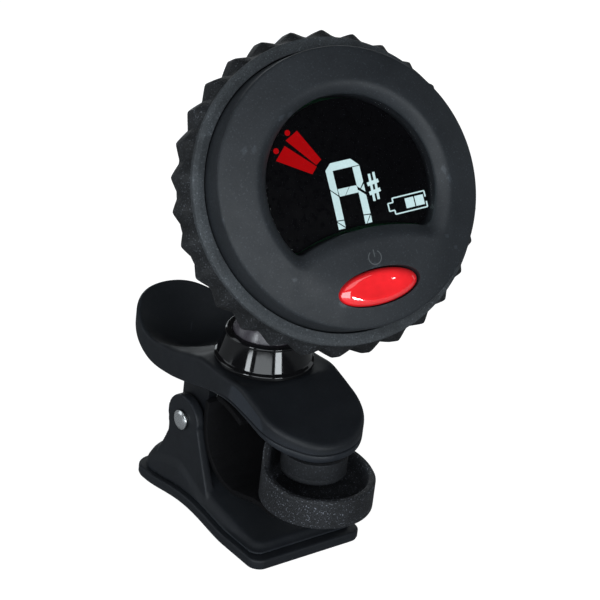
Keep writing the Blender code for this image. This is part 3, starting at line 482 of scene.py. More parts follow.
def front_bezel():
    loops = [[(x, y, 1.0) for x, y in window_outline(0)]]
    loops.append([(x, y, WINDOW_Z - 0.1) for x, y in window_outline(0)])
    for k in range(11):
        t = k / 10
        rise = 1 - (1 - t) ** 1.7
        ring = window_outline(0.06 + BEVEL * t)
        loops.append([(x, y, WINDOW_Z + (face_height(math.hypot(x, y)) - WINDOW_Z) * rise) for x, y in ring])
    start = window_outline(0.06 + BEVEL)
    for k in range(1, 22):
        t = k / 21
        ring = []
        for x, y in start:
            r = math.hypot(x, y)
            s = 1 + t * ((CAP_R - 0.75) / r - 1)
            ring.append((x * s, y * s, face_height(r * s)))
        loops.append(ring)
    edge_z = face_height(CAP_R - 0.75)
    rim = [(CAP_R - 0.75, edge_z), (CAP_R, edge_z - 0.35), (CAP_R + 0.02, -2.0)]
    rim += [(CAP_R - 1.4, -2.0), (CAP_R - 1.6, 1.0)]
    for r, z in fillet(rim, [0, 0.75, 0.1, 0.1, 0], steps=6)[1:]:
        loops.append([(r * x / math.hypot(x, y), r * y / math.hypot(x, y), z) for x, y in start])
    bezel = place("bezel_fine", loft(loops, caps=False), HEAD, FACE, "head", "front_bezel", sharp=50)
    hole = slab(oval(BUTTON_A + 0.16, BUTTON_B + 0.16, centre=(0, BUTTON_Y)), 3.4, 9.0)
    carve(bezel, cutter(hole, HEAD), sharp=50)
    return bezel


def scalloped_rim():
    teeth, per = 30, 16
    steps = teeth * per

    def row(valley, tip, z_valley, z_tip):
        points = []
        for k in range(steps):
            a = 2 * math.pi * k / steps
            t = 1 - abs(2 * (k % per) / per - 1)
            t = t if t < 0.9 else 0.9 + (t - 0.9) * 0.5
            r, z = valley + (tip - valley) * t, z_valley + (z_tip - z_valley) * t
            points.append((r * math.cos(a), r * math.sin(a), z))
        return points

    bore = [(20.75, -6.6), (20.75, -2.2), (20.52, -1.9), (20.52, -0.7)]
    lip = [(20.52, -0.7), (20.62, -0.05), (21.6, 0.0), (22.4, -0.12), (22.43, -0.9)]
    rows = [row(r, r, z, z) for r, z in bore + fillet(lip, [0, 0.15, 0.5, 0.3, 0], steps=5)[1:]]
    rows += [
        row(22.6, 23.68, -2.55, -2.2),
        row(22.66, 23.84, -2.75, -2.42),
        row(22.68, 23.9, -3.0, -2.7),
        row(22.68, 23.88, -4.9, -4.9),
        row(22.6, 23.7, -5.15, -5.25),
        row(22.2, 22.7, -6.3, -6.5),
        row(21.9, 22.0, -6.9, -6.95),
        row(21.4, 21.4, -7.0, -7.0),
    ]
    rim = place("grip_ring_fine", loft(rows, caps=False), HEAD, RUBBER, "head", "scalloped_rim", sharp=24)
    rim.data.materials.append(LIP_PAINTED_LIGHT)
    to_head = HEAD.inverted()
    # painted light: the lip's top faces get the lighter copy of the rubber
    for face in rim.data.polygons:
        centre = to_head @ face.center
        if centre.z > -0.9 and math.hypot(centre.x, centre.y) < 22.6:
            face.material_index = 1
    return rim


def rear_housing():
    seat_r, floor_z = CAP_R + 0.2, BACK_Z + 2.8
    profile = [
        (0.0, floor_z),
        (17.4, floor_z),
        (seat_r - 1.9, floor_z + 2.2),
        (seat_r - 1.5, -2.3),
        (seat_r, -2.3),
        (seat_r, -7.3),
        (21.8, -7.3),
        (21.6, -8.4),
        (19.9, BACK_Z + 1.6),
        (18.6, BACK_Z + 0.45),
        (17.2, BACK_Z),
        (0.0, BACK_Z),
    ]
    radii = [0, 1.0, 1.0, 0.1, 0.1, 0.1, 0.25, 0.8, 3.0, 1.2, 1.2, 0]
    bowl = turned(fillet(profile, radii, steps=6), 192)
    shell = place("rear_shell_fine", bowl, HEAD, SOFT, "head", "rear_housing")
    cuts = [cutter(slab(door_outline(0.0, 30.0), BACK_Z - 2, BACK_Z + 1.6), HEAD)]
    well = turned([(0, -2), (10.35, -2), (10.35, BACK_Z - 3), (0, BACK_Z - 3)], 96)
    cuts.append(cutter(well, HEAD @ Matrix.Translation((0, 5.5, 0))))
    hole = [(0, -6), (1.15, -6), (1.15, BACK_Z + 0.25), (1.45, BACK_Z - 0.2)]
    hole += [(1.45, BACK_Z - 3), (0, BACK_Z - 3)]
    for x, y in SCREWS:
        cuts.append(cutter(turned(hole, 40), HEAD @ Matrix.Translation((x, y, 0))))
    return carve(shell, *cuts)


def door_outline(clear, top):
    half, low = 11.0 - clear, -5.6 + clear
    corner = 0.8
    foot = arc((-half + corner, low + corner), corner, 180, 270, 6)
    foot += arc((half - corner, low + corner), corner, 270, 360, 6)
    if top:
        return foot + [(half, top), (-half, top)]
    reach = 18.4
    angle = math.degrees(math.acos(half / reach))
    return foot + arc((0, 0), reach, angle, 180 - angle, 48)


def battery_door():
    plate = slab(door_outline(0.15, None), BACK_Z, BACK_Z + 1.3, 0.18)
    door = place("door_fine", plate, HEAD, SOFT, "door", "battery_door")
    cuts = []
    for k in range(3):
        y = 0.5 + 1.6 * k
        ends = arc((3.6, y), 0.35, -90, 90, 8) + arc((-3.6, y), 0.35, 90, 270, 8)
        cuts.append(cutter(slab(ends, BACK_Z - 1, BACK_Z + 0.4), HEAD))
    arrow = [(-1.1, 7.2), (1.1, 7.2), (0, 9.0)]
    cuts.append(cutter(slab(arrow, BACK_Z - 1, BACK_Z + 0.3), HEAD))
    return carve(door, *cuts)


def display():
    pane = slab(window_outline(-0.12), WINDOW_Z - 1.4, WINDOW_Z - 0.2, 0.08)
    place("window_fine", pane, HEAD, WINDOW, "head", "display_window")
    panel = slab(window_outline(-0.5), 2.2, 3.3, 0.05)
    place("panel_fine", panel, HEAD, PANEL, "head", "lcd_panel")


def bar(a, b, wide, slant_a=0.0, slant_b=0.0):
    """A straight stroke from a to b, its ends cut at a slant."""
    a, b = Vector(a), Vector(b)
    run = (b - a).normalized()
    side = Vector((-run.y, run.x)) * wide / 2
    return [
        tuple(a + side + run * slant_a),
        tuple(a - side - run * slant_a),
        tuple(b - side - run * slant_b),
        tuple(b + side + run * slant_b),
    ]


def joined(shapes, low, high):
    """Several thin flat figures as one bmesh."""
    whole = bmesh.new()
    for shape in shapes:
        bottom = [whole.verts.new((x, y, low)) for x, y in shape]
        top = [whole.verts.new((x, y, high)) for x, y in shape]
        quads(whole, bottom, top)
        whole.faces.new(bottom[::-1])
        whole.faces.new(top)
    return whole


def display_figures():
    low, high = 3.32, 3.38
    letter = [
        [(1.5, 3.95), (-1.75, 3.95), (-2.75, 3.05), (-2.75, 0.3), (-1.68, -0.75), (-1.68, 2.8), (2.65, 2.8)],
        [(1.52, 2.68), (2.65, 2.68), (2.65, 0.35), (1.95, -0.5), (1.52, -0.05)],
        [(2.65, 0.0), (2.62, -1.1), (2.05, -0.6)],
        [(-1.58, 0.1), (0.25, 0.08), (-0.65, -1.0), (-1.5, -1.0)],
        [(0.37, 0.08), (1.4, 0.05), (1.5, -0.1), (1.5, -1.0), (-0.53, -1.0)],
        [(-2.75, 0.1), (-2.85, -4.22), (-1.75, -4.3), (-1.68, -1.0)],
        [(-2.87, -4.36), (-1.77, -4.44), (-1.77, -5.35)],
        [(-2.88, -4.55), (-2.9, -5.55), (-1.8, -5.55)],
        [(1.55, -0.65), (2.6, -1.6), (2.58, -4.35), (1.48, -4.25)],
        [(1.47, -4.4), (2.42, -4.48), (1.62, -5.6), (1.43, -5.6)],
        [(2.57, -4.55), (2.52, -5.6), (1.75, -5.6)],
    ]
    sharp_sign = [
        bar((3.82, 1.22), (3.7, -2.75), 0.36),
        bar((4.58, 1.34), (4.42, -2.62), 0.36),
        bar((3.2, -0.22), (5.05, 0.02), 0.55),
        bar((3.2, -1.55), (5.03, -1.3), 0.55),
    ]
    left, right, foot, top, line = 6.5, 11.8, -5.33, -2.97, 0.19
    cap_left, cap_foot, cap_top = 5.65, -4.72, -3.58
    frame_line = [
        bar((left, foot), (right, foot), line),
        bar((left, top), (right, top), line),
        bar((right, foot), (right, -4.5), line),
        bar((right, -3.85), (right, top), line),
        bar((left, foot), (left, cap_foot), line),
        bar((left, cap_top), (left, top), line),
        bar((cap_left, cap_foot), (left, cap_foot), line),
        bar((cap_left, cap_top), (left, cap_top), line),
        bar((cap_left, cap_foot), (cap_left, cap_top), line),
        bar((9.16, -4.88), (9.16, -3.43), 1.4),
        bar((10.77, -4.88), (10.77, -3.43), 1.4),
    ]
    figures = joined(letter + sharp_sign + frame_line, low, high)
    place("note_figures", figures, HEAD, WHITE_LIT, "head", flat=True)
    wedges = [
        [(-7.67, 8.50), (-5.60, 9.50), (-2.99, 4.75), (-3.93, 4.15)],
        [(-9.89, 6.00), (-8.03, 7.78), (-3.93, 3.92), (-4.89, 3.01)],
        oval(0.42, 0.42, 24, (-7.13, 9.5)),
        oval(0.42, 0.42, 24, (-9.52, 7.35)),
    ]
    place("meter_figures", joined(wedges, low, high), HEAD, RED_LIT, "head", flat=True)


def power_mark():
    """The usual standby sign, a broken ring with a bar, printed over the button."""
    at_x, at_y, radius, wide, proud = 0.12, -10.55, 1.0, 0.15, 0.015
    outer = arc((at_x, at_y), radius + wide / 2, 125, 415, 40)
    inner = arc((at_x, at_y), radius - wide / 2, 125, 415, 40)
    shapes = [[outer[k], outer[k + 1], inner[k + 1], inner[k]] for k in range(len(outer) - 1)]
    shapes.append(bar((at_x, at_y + 0.1), (at_x, at_y + 1.15), wide))
    bm = bmesh.new()
    for shape in shapes:
        bm.faces.new([bm.verts.new((x, y, face_height(math.hypot(x, y)) + proud)) for x, y in shape])
    place("power_sign", bm, HEAD, PRINT, "head", flat=True)


def power_button():
    """An oval dome with a soft crest and a shallow thumb hollow."""
    sides = [(1.0, 2.7), (1.0, 4.95), (0.985, 5.18), (0.96, 5.36), (0.92, 5.56), (0.87, 5.75), (0.81, 5.92)]
    sides += [(0.74, 6.05), (0.67, 6.12), (0.6, 6.14), (0.52, 6.1), (0.44, 6.03), (0.35, 5.95)]
    sides += [(0.25, 5.9), (0.12, 5.87)]
    loops = [[(x, y, z) for x, y in oval(BUTTON_A * s, BUTTON_B * s)] for s, z in sides]
    at = HEAD @ Matrix.Translation((0, BUTTON_Y, 0))
    place("button_fine", loft(loops), at, RED, "button", "power_button", sharp=60)


def screws():
    for k, (x, y) in enumerate(SCREWS):
        top = BACK_Z + 0.55
        profile = [(0, -4.5), (0.7, -4.8), (0.7, -11.4), (1.0, -11.6), (1.0, top), (0, top)]
        screw = turned(fillet(profile, [0, 0, 0, 0.1, 0.2, 0]), 48)
        at = HEAD @ Matrix.Translation((x, y, 0)) @ Matrix.Rotation(0.4 + k, 4, "Z")
        obj = place(f"screw_fine_{k + 1}", screw, at, STEEL, "head", f"housing_screw_{k + 1}")
        cuts = [cutter(box((-0.6, -0.12, top - 0.5), (0.6, 0.12, top + 0.5)), at)]
        cuts.append(cutter(box((-0.12, -0.6, top - 0.5), (0.12, 0.6, top + 0.5)), at))
        carve(obj, *cuts)


# ---- ball joint ------------------------------------------------------------------------------------


def ball_joint():
    ball_r, stud_r = 5.5, 1.6
    neck = math.sqrt(ball_r**2 - stud_r**2)
    first = math.degrees(math.atan2(neck, stud_r))
    bend = arc((0, 0), ball_r, first, -90, 40)
    profile = fillet([(0, 12), (stud_r, 12), (stud_r, neck + 0.3)], [0, 0.2, 0]) + bend[1:-1] + [(0, -ball_r)]
    place("ball_fine", turned(profile, 96), STEM, BALL_MAT, "ball", "ball_stud", sharp=40)

    foot = REACH + 1.0 - 1.6
    reach = REACH + 1.0
    stem = [(1.7, 6.4), (2.7, 6.4), (3.1, 6.9)]
    for k in range(3):
        z = 7.6 + 1.1 * k
        stem += [(3.1, z), (2.75, z + 0.12), (2.75, z + 0.5), (3.1, z + 0.62)]
    stem += [(3.1, reach - 9), (3.9, reach - 4), (5.0, foot), (5.0, reach), (0, reach), (0, 12.4), (1.7, 12.4)]
    radii = [0, 0.3, 0.3] + [0.08] * 12 + [2, 2, 0.4, 0, 0, 0, 0]
    bm = turned(fillet(stem, radii), 96)
    arm = place("stem_fine", bm, STEM, HARD, "head", "stem_arm", sharp=40)
    trim = box((-9, BOSS_Y - 9, BACK_Z - 0.3), (9, BOSS_Y + 9, BACK_Z + 8))
    carve(arm, cutter(trim, HEAD), sharp=40)

    top, low = 32.5 - 31.2, 27.2 + 0.3 - 31.2
    mouth = math.sqrt((ball_r + 0.12) ** 2 - top**2)
    profile = [
        (mouth, top),
        (6.25, top),
        (6.55, top - 0.3),
        (6.5, top - 0.62),
        (7.45, low + 1.0),
        (7.9, low + 0.65),
        (7.9, low),
        (6.9, low),
        (6.9, low - 1.6),
        (6.2, low - 1.6),
        (6.2, 0.0),
        (mouth + 0.35, 0.45),
    ]
    radii = [0.08, 0.15, 0.25, 0.12, 0.3, 0.3, 0.15, 0, 0, 0, 0.1, 0.05]
    collar = turned(fillet(profile, radii, closed=True, steps=5), 192)
    place("collar_fine", collar, BALL, GLOSS, "upper_lever", "socket_collar", sharp=40)


# ---- clip ------------------------------------------------------------------------------------------


def smooth_through(points):
    """A function y -> z, smooth through the given (y, z) points and level beyond their ends."""
    ys, zs = [p[0] for p in points], [p[1] for p in points]
    last = len(points) - 1
    near = [(max(k - 1, 0), min(k + 1, last)) for k in range(last + 1)]
    slopes = [(zs[b] - zs[a]) / (ys[b] - ys[a]) for a, b in near]
    slopes[0] = slopes[-1] = 0.0

    def height(y):
        if y <= ys[0]:
            return zs[0]
        if y >= ys[-1]:
            return zs[-1]
        k = max(i for i in range(last) if ys[i] <= y)
        span = ys[k + 1] - ys[k]
        t = (y - ys[k]) / span
        rise = (1 + 2 * t) * (1 - t) ** 2 * zs[k] + t * t * (3 - 2 * t) * zs[k + 1]
        return rise + (t * (1 - t) ** 2 * slopes[k] - t * t * (1 - t) * slopes[k + 1]) * span

    return height


def clamped(value):
    return min(max(value, 0), 1)


def bump(distance, reach):
    """1 at distance 0, falling smoothly to 0 at the reach."""
    t = min(abs(distance) / reach, 1.0)
    return (1 - t * t) ** 2


def plan_outline(half, front, rear, front_r, rear_r):
    """A lever seen from above: straight sides between rounded front corners and a rounded rear."""
    points = arc((half - front_r, front + front_r), front_r, -90, 0, 24)
    low, high = front + front_r, rear - rear_r
    points += [(half, low + (high - low) * k / 60) for k in range(1, 60)]
    points += arc((half - rear_r, rear - rear_r), rear_r, 0, 90, 40)
    mirrored = [(-x, y) for x, y in reversed(points)]
    if rear_r >= half:
        mirrored = mirrored[1:]
    if front_r >= half:
        mirrored = mirrored[:-1]
    return points + mirrored


def lever_loft(outline, rings, spine, half):
    """A closed body through rings of (distance in from the edge, height), drawn in to a spine along Y."""
    loops = []
    for inset, height in rings:
        loop = []
        for x, y in outline:
            share = 1 - (inset(y) if callable(inset) else inset) / half
            centre = min(max(y, spine[0]), spine[1])
            px, py = x * share, centre + (y - centre) * share
            loop.append((px, py, height(px, py)))
        loops.append(loop)
    bm = bmesh.new()
    rows = [[bm.verts.new(p) for p in loop] for loop in loops]
    for a, b in zip(rows, rows[1:]):
        quads(bm, a, b)
    bmesh.ops.remove_doubles(bm, verts=bm.verts, dist=1e-3)
    bmesh.ops.dissolve_degenerate(bm, dist=1e-5, edges=bm.edges)
    return bm


def sole_bottom(y):
    return 1.2 * bump(y + 4.5, 11)


SOLE_HALF, SOLE_FRONT, SOLE_REAR = 10.6, -24.3, 10.4
BODY_HALF, BODY_FRONT, BODY_REAR = 9.8, -22.9, 9.6
LEVER_CORNER, REAR_CORNER = 2.0, 3.0
PADDLE_HALF, PADDLE_FRONT, PADDLE_REAR, PADDLE_WALL = 9.1, -28.4, 21.0, 1.6
BODY_FORE = [(-24.3, 3.3), (-18.6, 3.4), (-15.5, 3.7), (-10.7, 4.5), (-8.5, 5.0), (-4.5, 6.6)]
BODY_AFT = [(-0.5, 7.9), (4.2, 6.7), (8.9, 5.3), (10.4, 4.8)]
BODY_EDGE = smooth_through(BODY_FORE + BODY_AFT)
RIM_FRONT = [(PADDLE_FRONT, 22.9), (-25, 24.0), (-21, 25.2), (-16, 26.9), (-11, 28.3), (-6, 28.1)]
RIM_REAR = [(0, 26.5), (5, 25.0), (10, 24.5), (14, 25.3), (17.5, 26.8), (PADDLE_REAR, 27.8)]
PADDLE_RIM = smooth_through(RIM_FRONT + RIM_REAR)
UNDER_FRONT = [(PADDLE_FRONT, 19.8), (-25, 20.7), (-20, 21.9), (-12, 23.5), (-6, 22.9)]
UNDER_REAR = [(0, 21.3), (5, 20.3), (10, 20.2), (14, 21.8), (18, 24.1), (PADDLE_REAR, 25.8)]
PADDLE_UNDER = smooth_through(UNDER_FRONT + UNDER_REAR)


def edge_rings(round_r, top, steps=6, inner=()):
    """Rings over a rounded top edge, from the wall inward."""
    rings = []
    for k in range(steps + 1):
        a = math.pi / 2 * k / steps
        drop = round_r * (1 - math.sin(a))
        rings.append((round_r * (1 - math.cos(a)), lambda x, y, drop=drop: top(x, y) - drop))
    return rings + [(inset, top) for inset in inner]


def lower_sole():
    half, front, rear = SOLE_HALF, SOLE_FRONT, SOLE_REAR
    outline = plan_outline(half, front, rear, LEVER_CORNER, REAR_CORNER)
    spine = (front + 9, rear - 9)
    rings = [
        (half, lambda x, y: sole_bottom(y)),
        (6, lambda x, y: sole_bottom(y)),
        (2, lambda x, y: sole_bottom(y)),
        (0.9, lambda x, y: sole_bottom(y)),
        (0.45, lambda x, y: sole_bottom(y) + 0.08),
        (0.12, lambda x, y: sole_bottom(y) + 0.34),
        (0.0, lambda x, y: sole_bottom(y) + 0.65),
    ]
    rings += edge_rings(0.35, lambda x, y: sole_bottom(y) + 2.0, 5, (1.2, 5, half))
    plate = lever_loft(outline, rings, spine, half)
    sole = place("sole_fine", plate, CLIP, SOFT, "lower_lever", "lower_lever_sole")
    slot = arc((5.4, -22.7), 0.5, -90, 90, 8) + arc((-5.4, -22.7), 0.5, 90, 270, 8)
    return carve(sole, cutter(slab(slot, -1, 0.55), CLIP))


def lower_body():
    half, front, rear = BODY_HALF, BODY_FRONT, BODY_REAR
    outline = plan_outline(half, front, rear, LEVER_CORNER, REAR_CORNER)
    spine = (front + 8, rear - 8)

    def underside(x, y):
        return sole_bottom(y) + 2.08

    def top(x, y):
        return max(BODY_EDGE(y), underside(x, y) + 0.6)

    def crown(y):
        return 0.3 + 1.4 * clamped((y + 2) / 6)

    rings = [
        (half, underside),
        (4, underside),
        (0.0, underside),
        (0.0, lambda x, y: underside(x, y) + 0.3),
        (0.25, lambda x, y: max(top(x, y) - 1.9, underside(x, y) + 0.35)),
        (0.65, lambda x, y: max(top(x, y) - 1.1, underside(x, y) + 0.42)),
        (1.0, lambda x, y: max(top(x, y) - 0.5, underside(x, y) + 0.5)),
        (1.5, top),
        (2.4, lambda x, y: top(x, y) + 0.35 * crown(y)),
        (5, lambda x, y: top(x, y) + 0.85 * crown(y)),
        (half, lambda x, y: top(x, y) + crown(y)),
    ]
    block = lever_loft(outline, rings, spine, half)
    body = place("body_fine", block, CLIP, SOFT, "lower_lever", "lower_lever_body")
    ear = arc((0, PIN_Z), 4.1, 0, 180, 36)[:-1]
    ear += [(-4.0, PIN_Z), (-8.4, 4.2), (6.6, 4.4), (3.4, 11.2)]
    ear = fillet(ear, [0] * 36 + [0, 0, 0, 3.0], closed=True, steps=8)
    parts = []
    for side in (-1, 1):
        low, high = sorted((side * 7.4, side * 9.0))
        parts.append(cutter(along_x(slab(ear, low, high)), CLIP))
    carve(body, *parts, operation="UNION")
    bore = turned([(0, 12), (1.3, 12), (1.3, -12), (0, -12)], 48)
    carve(body, cutter(bore, CLIP @ PIN_AXES))
    return melted(body, 0.24, 5)


def pivot():
    head = [(0, 9.75), (1.15, 9.74), (1.62, 9.5), (1.65, 9.3), (1.25, 9.3)]
    profile = head + [(r, -z) for r, z in head[::-1]]
    pin = turned(fillet(profile, [0, 0.4, 0.1, 0, 0, 0, 0, 0.1, 0.4, 0]), 64)
    place("pin_fine", pin, CLIP @ PIN_AXES, STEEL, "lower_lever", "pivot_pin")


def spring():
    wire, radius, turns, per = 0.45, 2.45, 7, 32
    width, leg_end = (2 * wire + 0.12) * turns, 7.2
    path = [(-width / 2, leg_end, PIN_Z - radius - 1.4)]
    for k in range(turns * per + 1):
        a = 2 * math.pi * k / per
        along = width * (k / (turns * per) - 0.5)
        path.append((along, -radius * math.sin(a), PIN_Z - radius * math.cos(a)))
    path.append((width / 2, leg_end, PIN_Z - radius + 0.9))
    place("spring_fine", tube(path, wire), CLIP, STEEL, "lower_lever", "torsion_spring", sharp=60)


def tube(path, radius, sides=12):
    bm = bmesh.new()
    angles = [2 * math.pi * i / sides for i in range(sides)]
    rings = []
    normal = None
    for k, here in enumerate(path):
        run = (Vector(path[min(k + 1, len(path) - 1)]) - Vector(path[max(k - 1, 0)])).normalized()
        if normal is None:
            normal = run.orthogonal().normalized()
        normal = (normal - run * normal.dot(run)).normalized()
        side = run.cross(normal)
        spokes = [normal * math.cos(a) + side * math.sin(a) for a in angles]
        rings.append([bm.verts.new(Vector(here) + spoke * radius) for spoke in spokes])
    for low, high in zip(rings, rings[1:]):
        quads(bm, low, high)
    bm.faces.new(rings[0][::-1])
    bm.faces.new(rings[-1])
    return bm


def strip_outline(points, thick):
    left, right = [], []
    for k, point in enumerate(points):
        before, after = Vector(points[max(k - 1, 0)]), Vector(points[min(k + 1, len(points) - 1)])
        run = (after - before).normalized()
        side = Vector((-run.y, run.x)) * thick / 2
        left.append(tuple(Vector(point) + side))
        right.append(tuple(Vector(point) - side))
    return left + right[::-1]


def rubber_band(path):
    """A strip 0.9 thick and 16 wide along a (y, z) path."""
    return along_x(slab(strip_outline(fillet(path, 3.0, steps=4), 0.9), -8.0, 8.0, 0.2))


def lower_jaw():
    """The rubber band behind the mouth, its springy arm, and the shallow cup at the arm's end."""
    path = [(-4.7, 20.0), (-4.55, 17.6), (-4.75, 15.2), (-5.4, 12.9), (-6.6, 10.9), (-8.4, 9.3), (-10.6, 8.3)]
    path += [(-13.2, 8.1), (-16.0, 8.8), (-18.6, 9.55), (-21.0, 9.8), (-24.0, 9.8)]
    place("band_fine", rubber_band(path), CLIP, BAND_PAINTED_SHADE, "lower_lever", "jaw_liner_lower", sharp=50)
    inner, outer, low, high, at_y = 7.7, 8.9, 10.6, 15.5, -24.1
    profile = [
        (0, low + 1.3),
        (inner - 0.8, low + 1.3),
        (inner, low + 2.1),
        (inner, high - 0.25),
        (inner + 0.3, high),
        (outer - 0.3, high),
        (outer, high - 0.3),
        (outer, low),
        (0, low),
    ]
    radii = [0, 0.7, 0.6, 0.2, 0.15, 0.2, 0.2, 0.45, 0]
    cup = turned(fillet(profile, radii, steps=5), 192)
    for vert in cup.verts:
        if vert.co.z > low + 2.3:
            slope = clamped((vert.co.y + at_y + 27) / 6)
            t = clamped((vert.co.y + at_y + 20.6) / 3.4)
            vert.co.z += 0.7 * slope + 3.1 * t * t * (3 - 2 * t)
    at = CLIP @ Matrix.Translation((0, at_y, 0))
    place("cup_fine", cup, at, PAD, "lower_lever", "lower_jaw_cup", sharp=40)


def paddle_top(x, y):
    across, along = x / PADDLE_HALF, (y - 10.5) / 10
    dish = 2.6 * max(0.0, 1 - across**2 - along**2)
    near = bump(max(0.0, math.hypot(x, y - SOCKET.y) - 8.4), 3.5)
    rim = PADDLE_RIM(y) - dish
    return rim * (1 - near) + min(rim, 27.2) * near


def upper_shell():
    half, front, rear, wall = PADDLE_HALF, PADDLE_FRONT, PADDLE_REAR, PADDLE_WALL
    outline = plan_outline(half, front, rear, half, half)
    spine = (front + half, rear - half)

    def ceiling(x, y):
        return max(paddle_top(x, y) - 1.5, PADDLE_UNDER(y) + 0.4)

    def above_rim(lift):
        return lambda x, y: PADDLE_UNDER(y) + lift

    def groove(inset, above):
        """One ring of the seam line round the nose, which fades out towards the hinge."""
        return (
            lambda y: inset * clamped((-6 - y) / 6),
            lambda x, y: PADDLE_UNDER(y) + 0.55 + 0.8 * clamped((-14 - y) / 12) + above,
        )

    rings = [(half, ceiling), (5, ceiling), (wall, ceiling)]
    rings += [(wall, above_rim(0)), (0.35, above_rim(0)), (0.1, above_rim(0.1)), (0.0, above_rim(0.3))]
    for inset, above in ((0, -0.2), (0.06, -0.14), (0.24, -0.08), (0.24, 0.08), (0.06, 0.14), (0, 0.2)):
        rings.append(groove(inset, above))
    rings += edge_rings(0.85, paddle_top, 8, [1.3, 1.8, 2.4, 3.0, 3.8, 4.6, 5.4, 6.2, 7.0, 7.8, 8.5, half])
    hood = lever_loft(outline, rings, spine, half)
    shell = place("shell_fine", hood, CLIP, SOFT, "upper_lever", "upper_lever_shell", sharp=44)
    pocket = turned([(0, 40), (7.1, 40), (7.1, 24.7), (0, 24.7)], 96)
    return carve(shell, cutter(pocket, CLIP @ Matrix.Translation((0, SOCKET.y, 0))), sharp=44)


def upper_frame():
    half, front, rear = PADDLE_HALF, PADDLE_FRONT, PADDLE_REAR
    outline = plan_outline(half, front, rear, half, half)
    spine = (front + half, rear - half)

    def roof(x, y):
        return max(paddle_top(x, y) - 2.1, PADDLE_UNDER(y) - 0.2)

    def floor(x, y):
        return min(PADDLE_UNDER(y), roof(x, y) - 0.6) - 0.8 * bump(y + 24, 13)

    rings = [
        (half, roof),
        (5, roof),
        (1.9, roof),
        (1.9, lambda x, y: floor(x, y) + 0.3),
        (2.0, lambda x, y: floor(x, y) + 0.1),
        (2.25, floor),
        (5, floor),
        (half, floor),
    ]
    plate = lever_loft(outline, rings, spine, half)
    body = place("frame_fine", plate, CLIP, HARD, "upper_lever", "upper_lever_frame")
    ear = arc((0, PIN_Z), 3.3, 180, 360, 32) + [(3.3, 21.2), (-3.6, 22.6)]
    parts = []
    for side in (-1, 1):
        low, high = sorted((side * 5.3, side * 6.9))
        parts.append(cutter(along_x(slab(ear, low, high)), CLIP))
    carve(body, *parts, operation="UNION")
    bore = turned([(0, 12), (1.3, 12), (1.3, -12), (0, -12)], 48)
    pocket = turned([(0, 40), (7.6, 40), (7.6, 24.7), (0, 24.7)], 96)
    carve(body, cutter(bore, CLIP @ PIN_AXES), cutter(pocket, CLIP @ Matrix.Translation((0, SOCKET.y, 0))))
    return body


def upper_jaw():
    liner = rubber_band([(-7.0, 22.0), (-9.0, 21.8), (-11.0, 21.4), (-13.5, 20.6)])
    place("liner_fine", liner, CLIP, BAND_PAINTED_SHADE, "upper_lever", "jaw_liner_upper", sharp=50)
    low, high, radius = 15.0, 18.9, 5.2
    profile = [(0, high), (radius, high), (radius, low + 1.25), (radius - 0.12, low + 1.15)]
    profile += [(radius, low + 1.05), (radius, low + 0.5), (radius - 0.6, low), (0, low)]
    pad = turned(fillet(profile, [0, 0.15, 0.03, 0.05, 0.03, 0.4, 0.3, 0]), 128)
    place("pad_fine", pad, CLIP @ Matrix.Translation((0, -22.6, 0)), PUCK, "upper_lever", "upper_jaw_pad")


# ---- carried-over inner pieces, floor, light, camera -----------------------------------------------


def inner_pieces():
    finishes = {
        "ball_seat": HARD,
        "backlight_diffuser": MILKY,
        "circuit_board": BOARD,
        "tact_switch": STEEL,
        "coin_cell": STEEL,
        "battery_tray": HARD,
        "contact_negative": STEEL,
        "contact_positive": STEEL,
        "piezo_disc": BRASS,
    }
    for node, mat in finishes.items():
        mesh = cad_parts[node].data
        mesh.materials.clear()
        mesh.materials.append(mat)


def floor():
    """A plain pale sweep: a greyish diffuse surface, lifted to near white for the camera alone."""
    mat = finish_of("pale_floor", (0.35, 0.35, 0.352), 0.8, 2.0, 0.02, 0.01, 0.0)
    tree, shader = mat.node_tree, mat.node_tree.nodes["Principled BSDF"]
    path = tree.nodes.new("ShaderNodeLightPath")
    glow = ranged(tree, path.outputs["Is Camera Ray"], 0.0, 0.92, (0, 1))
    tree.links.new(glow, shader.inputs["Emission Strength"])
    shader.inputs["Emission Color"].default_value = (1, 1, 1, 1)
    bm = bmesh.new()
    bmesh.ops.create_grid(bm, x_segments=8, y_segments=8, size=3.0)
    obj = place("floor", bm, Matrix.Translation((0, 0, -0.00005)), mat, None)


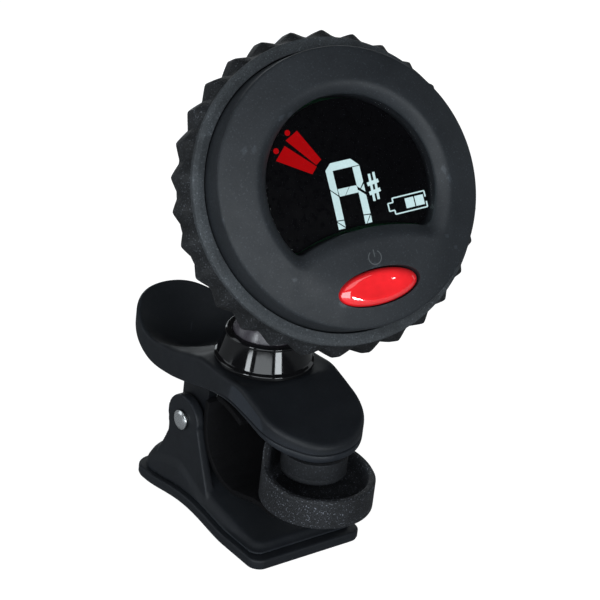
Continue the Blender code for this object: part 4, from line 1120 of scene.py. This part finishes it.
def area_light(name, azimuth, elevation, distance, size, power, colour=(1, 1, 1)):
    """A soft box aimed at the tuner; azimuth 0 is straight in front (-Y), and it grows towards +X."""
    light = bpy.data.lights.new(name, "AREA")
    light.shape, light.size, light.size_y = "RECTANGLE", *size
    light.energy, light.color = power, colour
    obj = bpy.data.objects.new(name, light)
    bpy.context.scene.collection.objects.link(obj)
    a, e = math.radians(azimuth), math.radians(elevation)
    aim = Vector((0, 0, 0.045))
    away = Vector((math.sin(a) * math.cos(e), -math.cos(a) * math.cos(e), math.sin(e)))
    obj.location = aim + away * distance
    obj.rotation_euler = away.to_track_quat("Z", "Y").to_euler()
    obj.visible_camera = False


def studio():
    world = bpy.data.worlds.new("studio")
    world.use_nodes = True
    tree = world.node_tree
    back = tree.nodes["Background"]
    back.inputs["Color"].default_value = (1, 1, 1, 1)
    path = tree.nodes.new("ShaderNodeLightPath")
    tree.links.new(ranged(tree, path.outputs["Is Camera Ray"], 0.02, 1.0, (0, 1)), back.inputs["Strength"])
    bpy.context.scene.world = world
    cool = (0.9, 0.96, 1.0)
    area_light("key_box", -38, 22, 0.9, (0.7, 0.7), 5.2, cool)
    area_light("left_strip", -74, 14, 0.8, (0.16, 0.42), 2.6, cool)
    area_light("right_panel", -2, 3, 0.8, (0.22, 0.32), 2.9, cool)
    area_light("top_box", -30, 75, 0.9, (0.6, 0.6), 1.0, cool)
    area_light("edge_box", -130, 15, 0.8, (0.4, 0.8), 1.2, cool)
    area_light("back_fill", 150, 2, 0.9, (0.8, 0.6), 2.6, cool)
    area_light("right_fill", 85, 5, 0.9, (0.6, 0.6), 0.6, cool)
    bpy.context.scene.view_settings.view_transform = "Standard"


def camera():
    data = bpy.data.cameras.new("camera")
    data.sensor_width = 36
    data.lens = 151.2
    data.clip_start, data.clip_end = 0.01, 10
    obj = bpy.data.objects.new("camera", data)
    bpy.context.scene.collection.objects.link(obj)
    right, up, back = (0.79717, -0.59445, 0.10559), (0.19660, 0.42094, 0.88554), (-0.57085, -0.68516, 0.45243)
    turn = Matrix((right, up, back)).transposed().to_4x4()
    obj.matrix_world = Matrix.Translation(CLIP @ Vector((-218.88, -277.41, 214.44))) @ turn
    bpy.context.scene.camera = obj


camera()
studio()
floor()
front_bezel()
scalloped_rim()
rear_housing()
battery_door()
display()
display_figures()
power_mark()
power_button()
screws()
ball_joint()
lower_sole()
lower_body()
pivot()
spring()
lower_jaw()
upper_shell()
upper_frame()
upper_jaw()
inner_pieces()

bpy.context.view_layer.update()
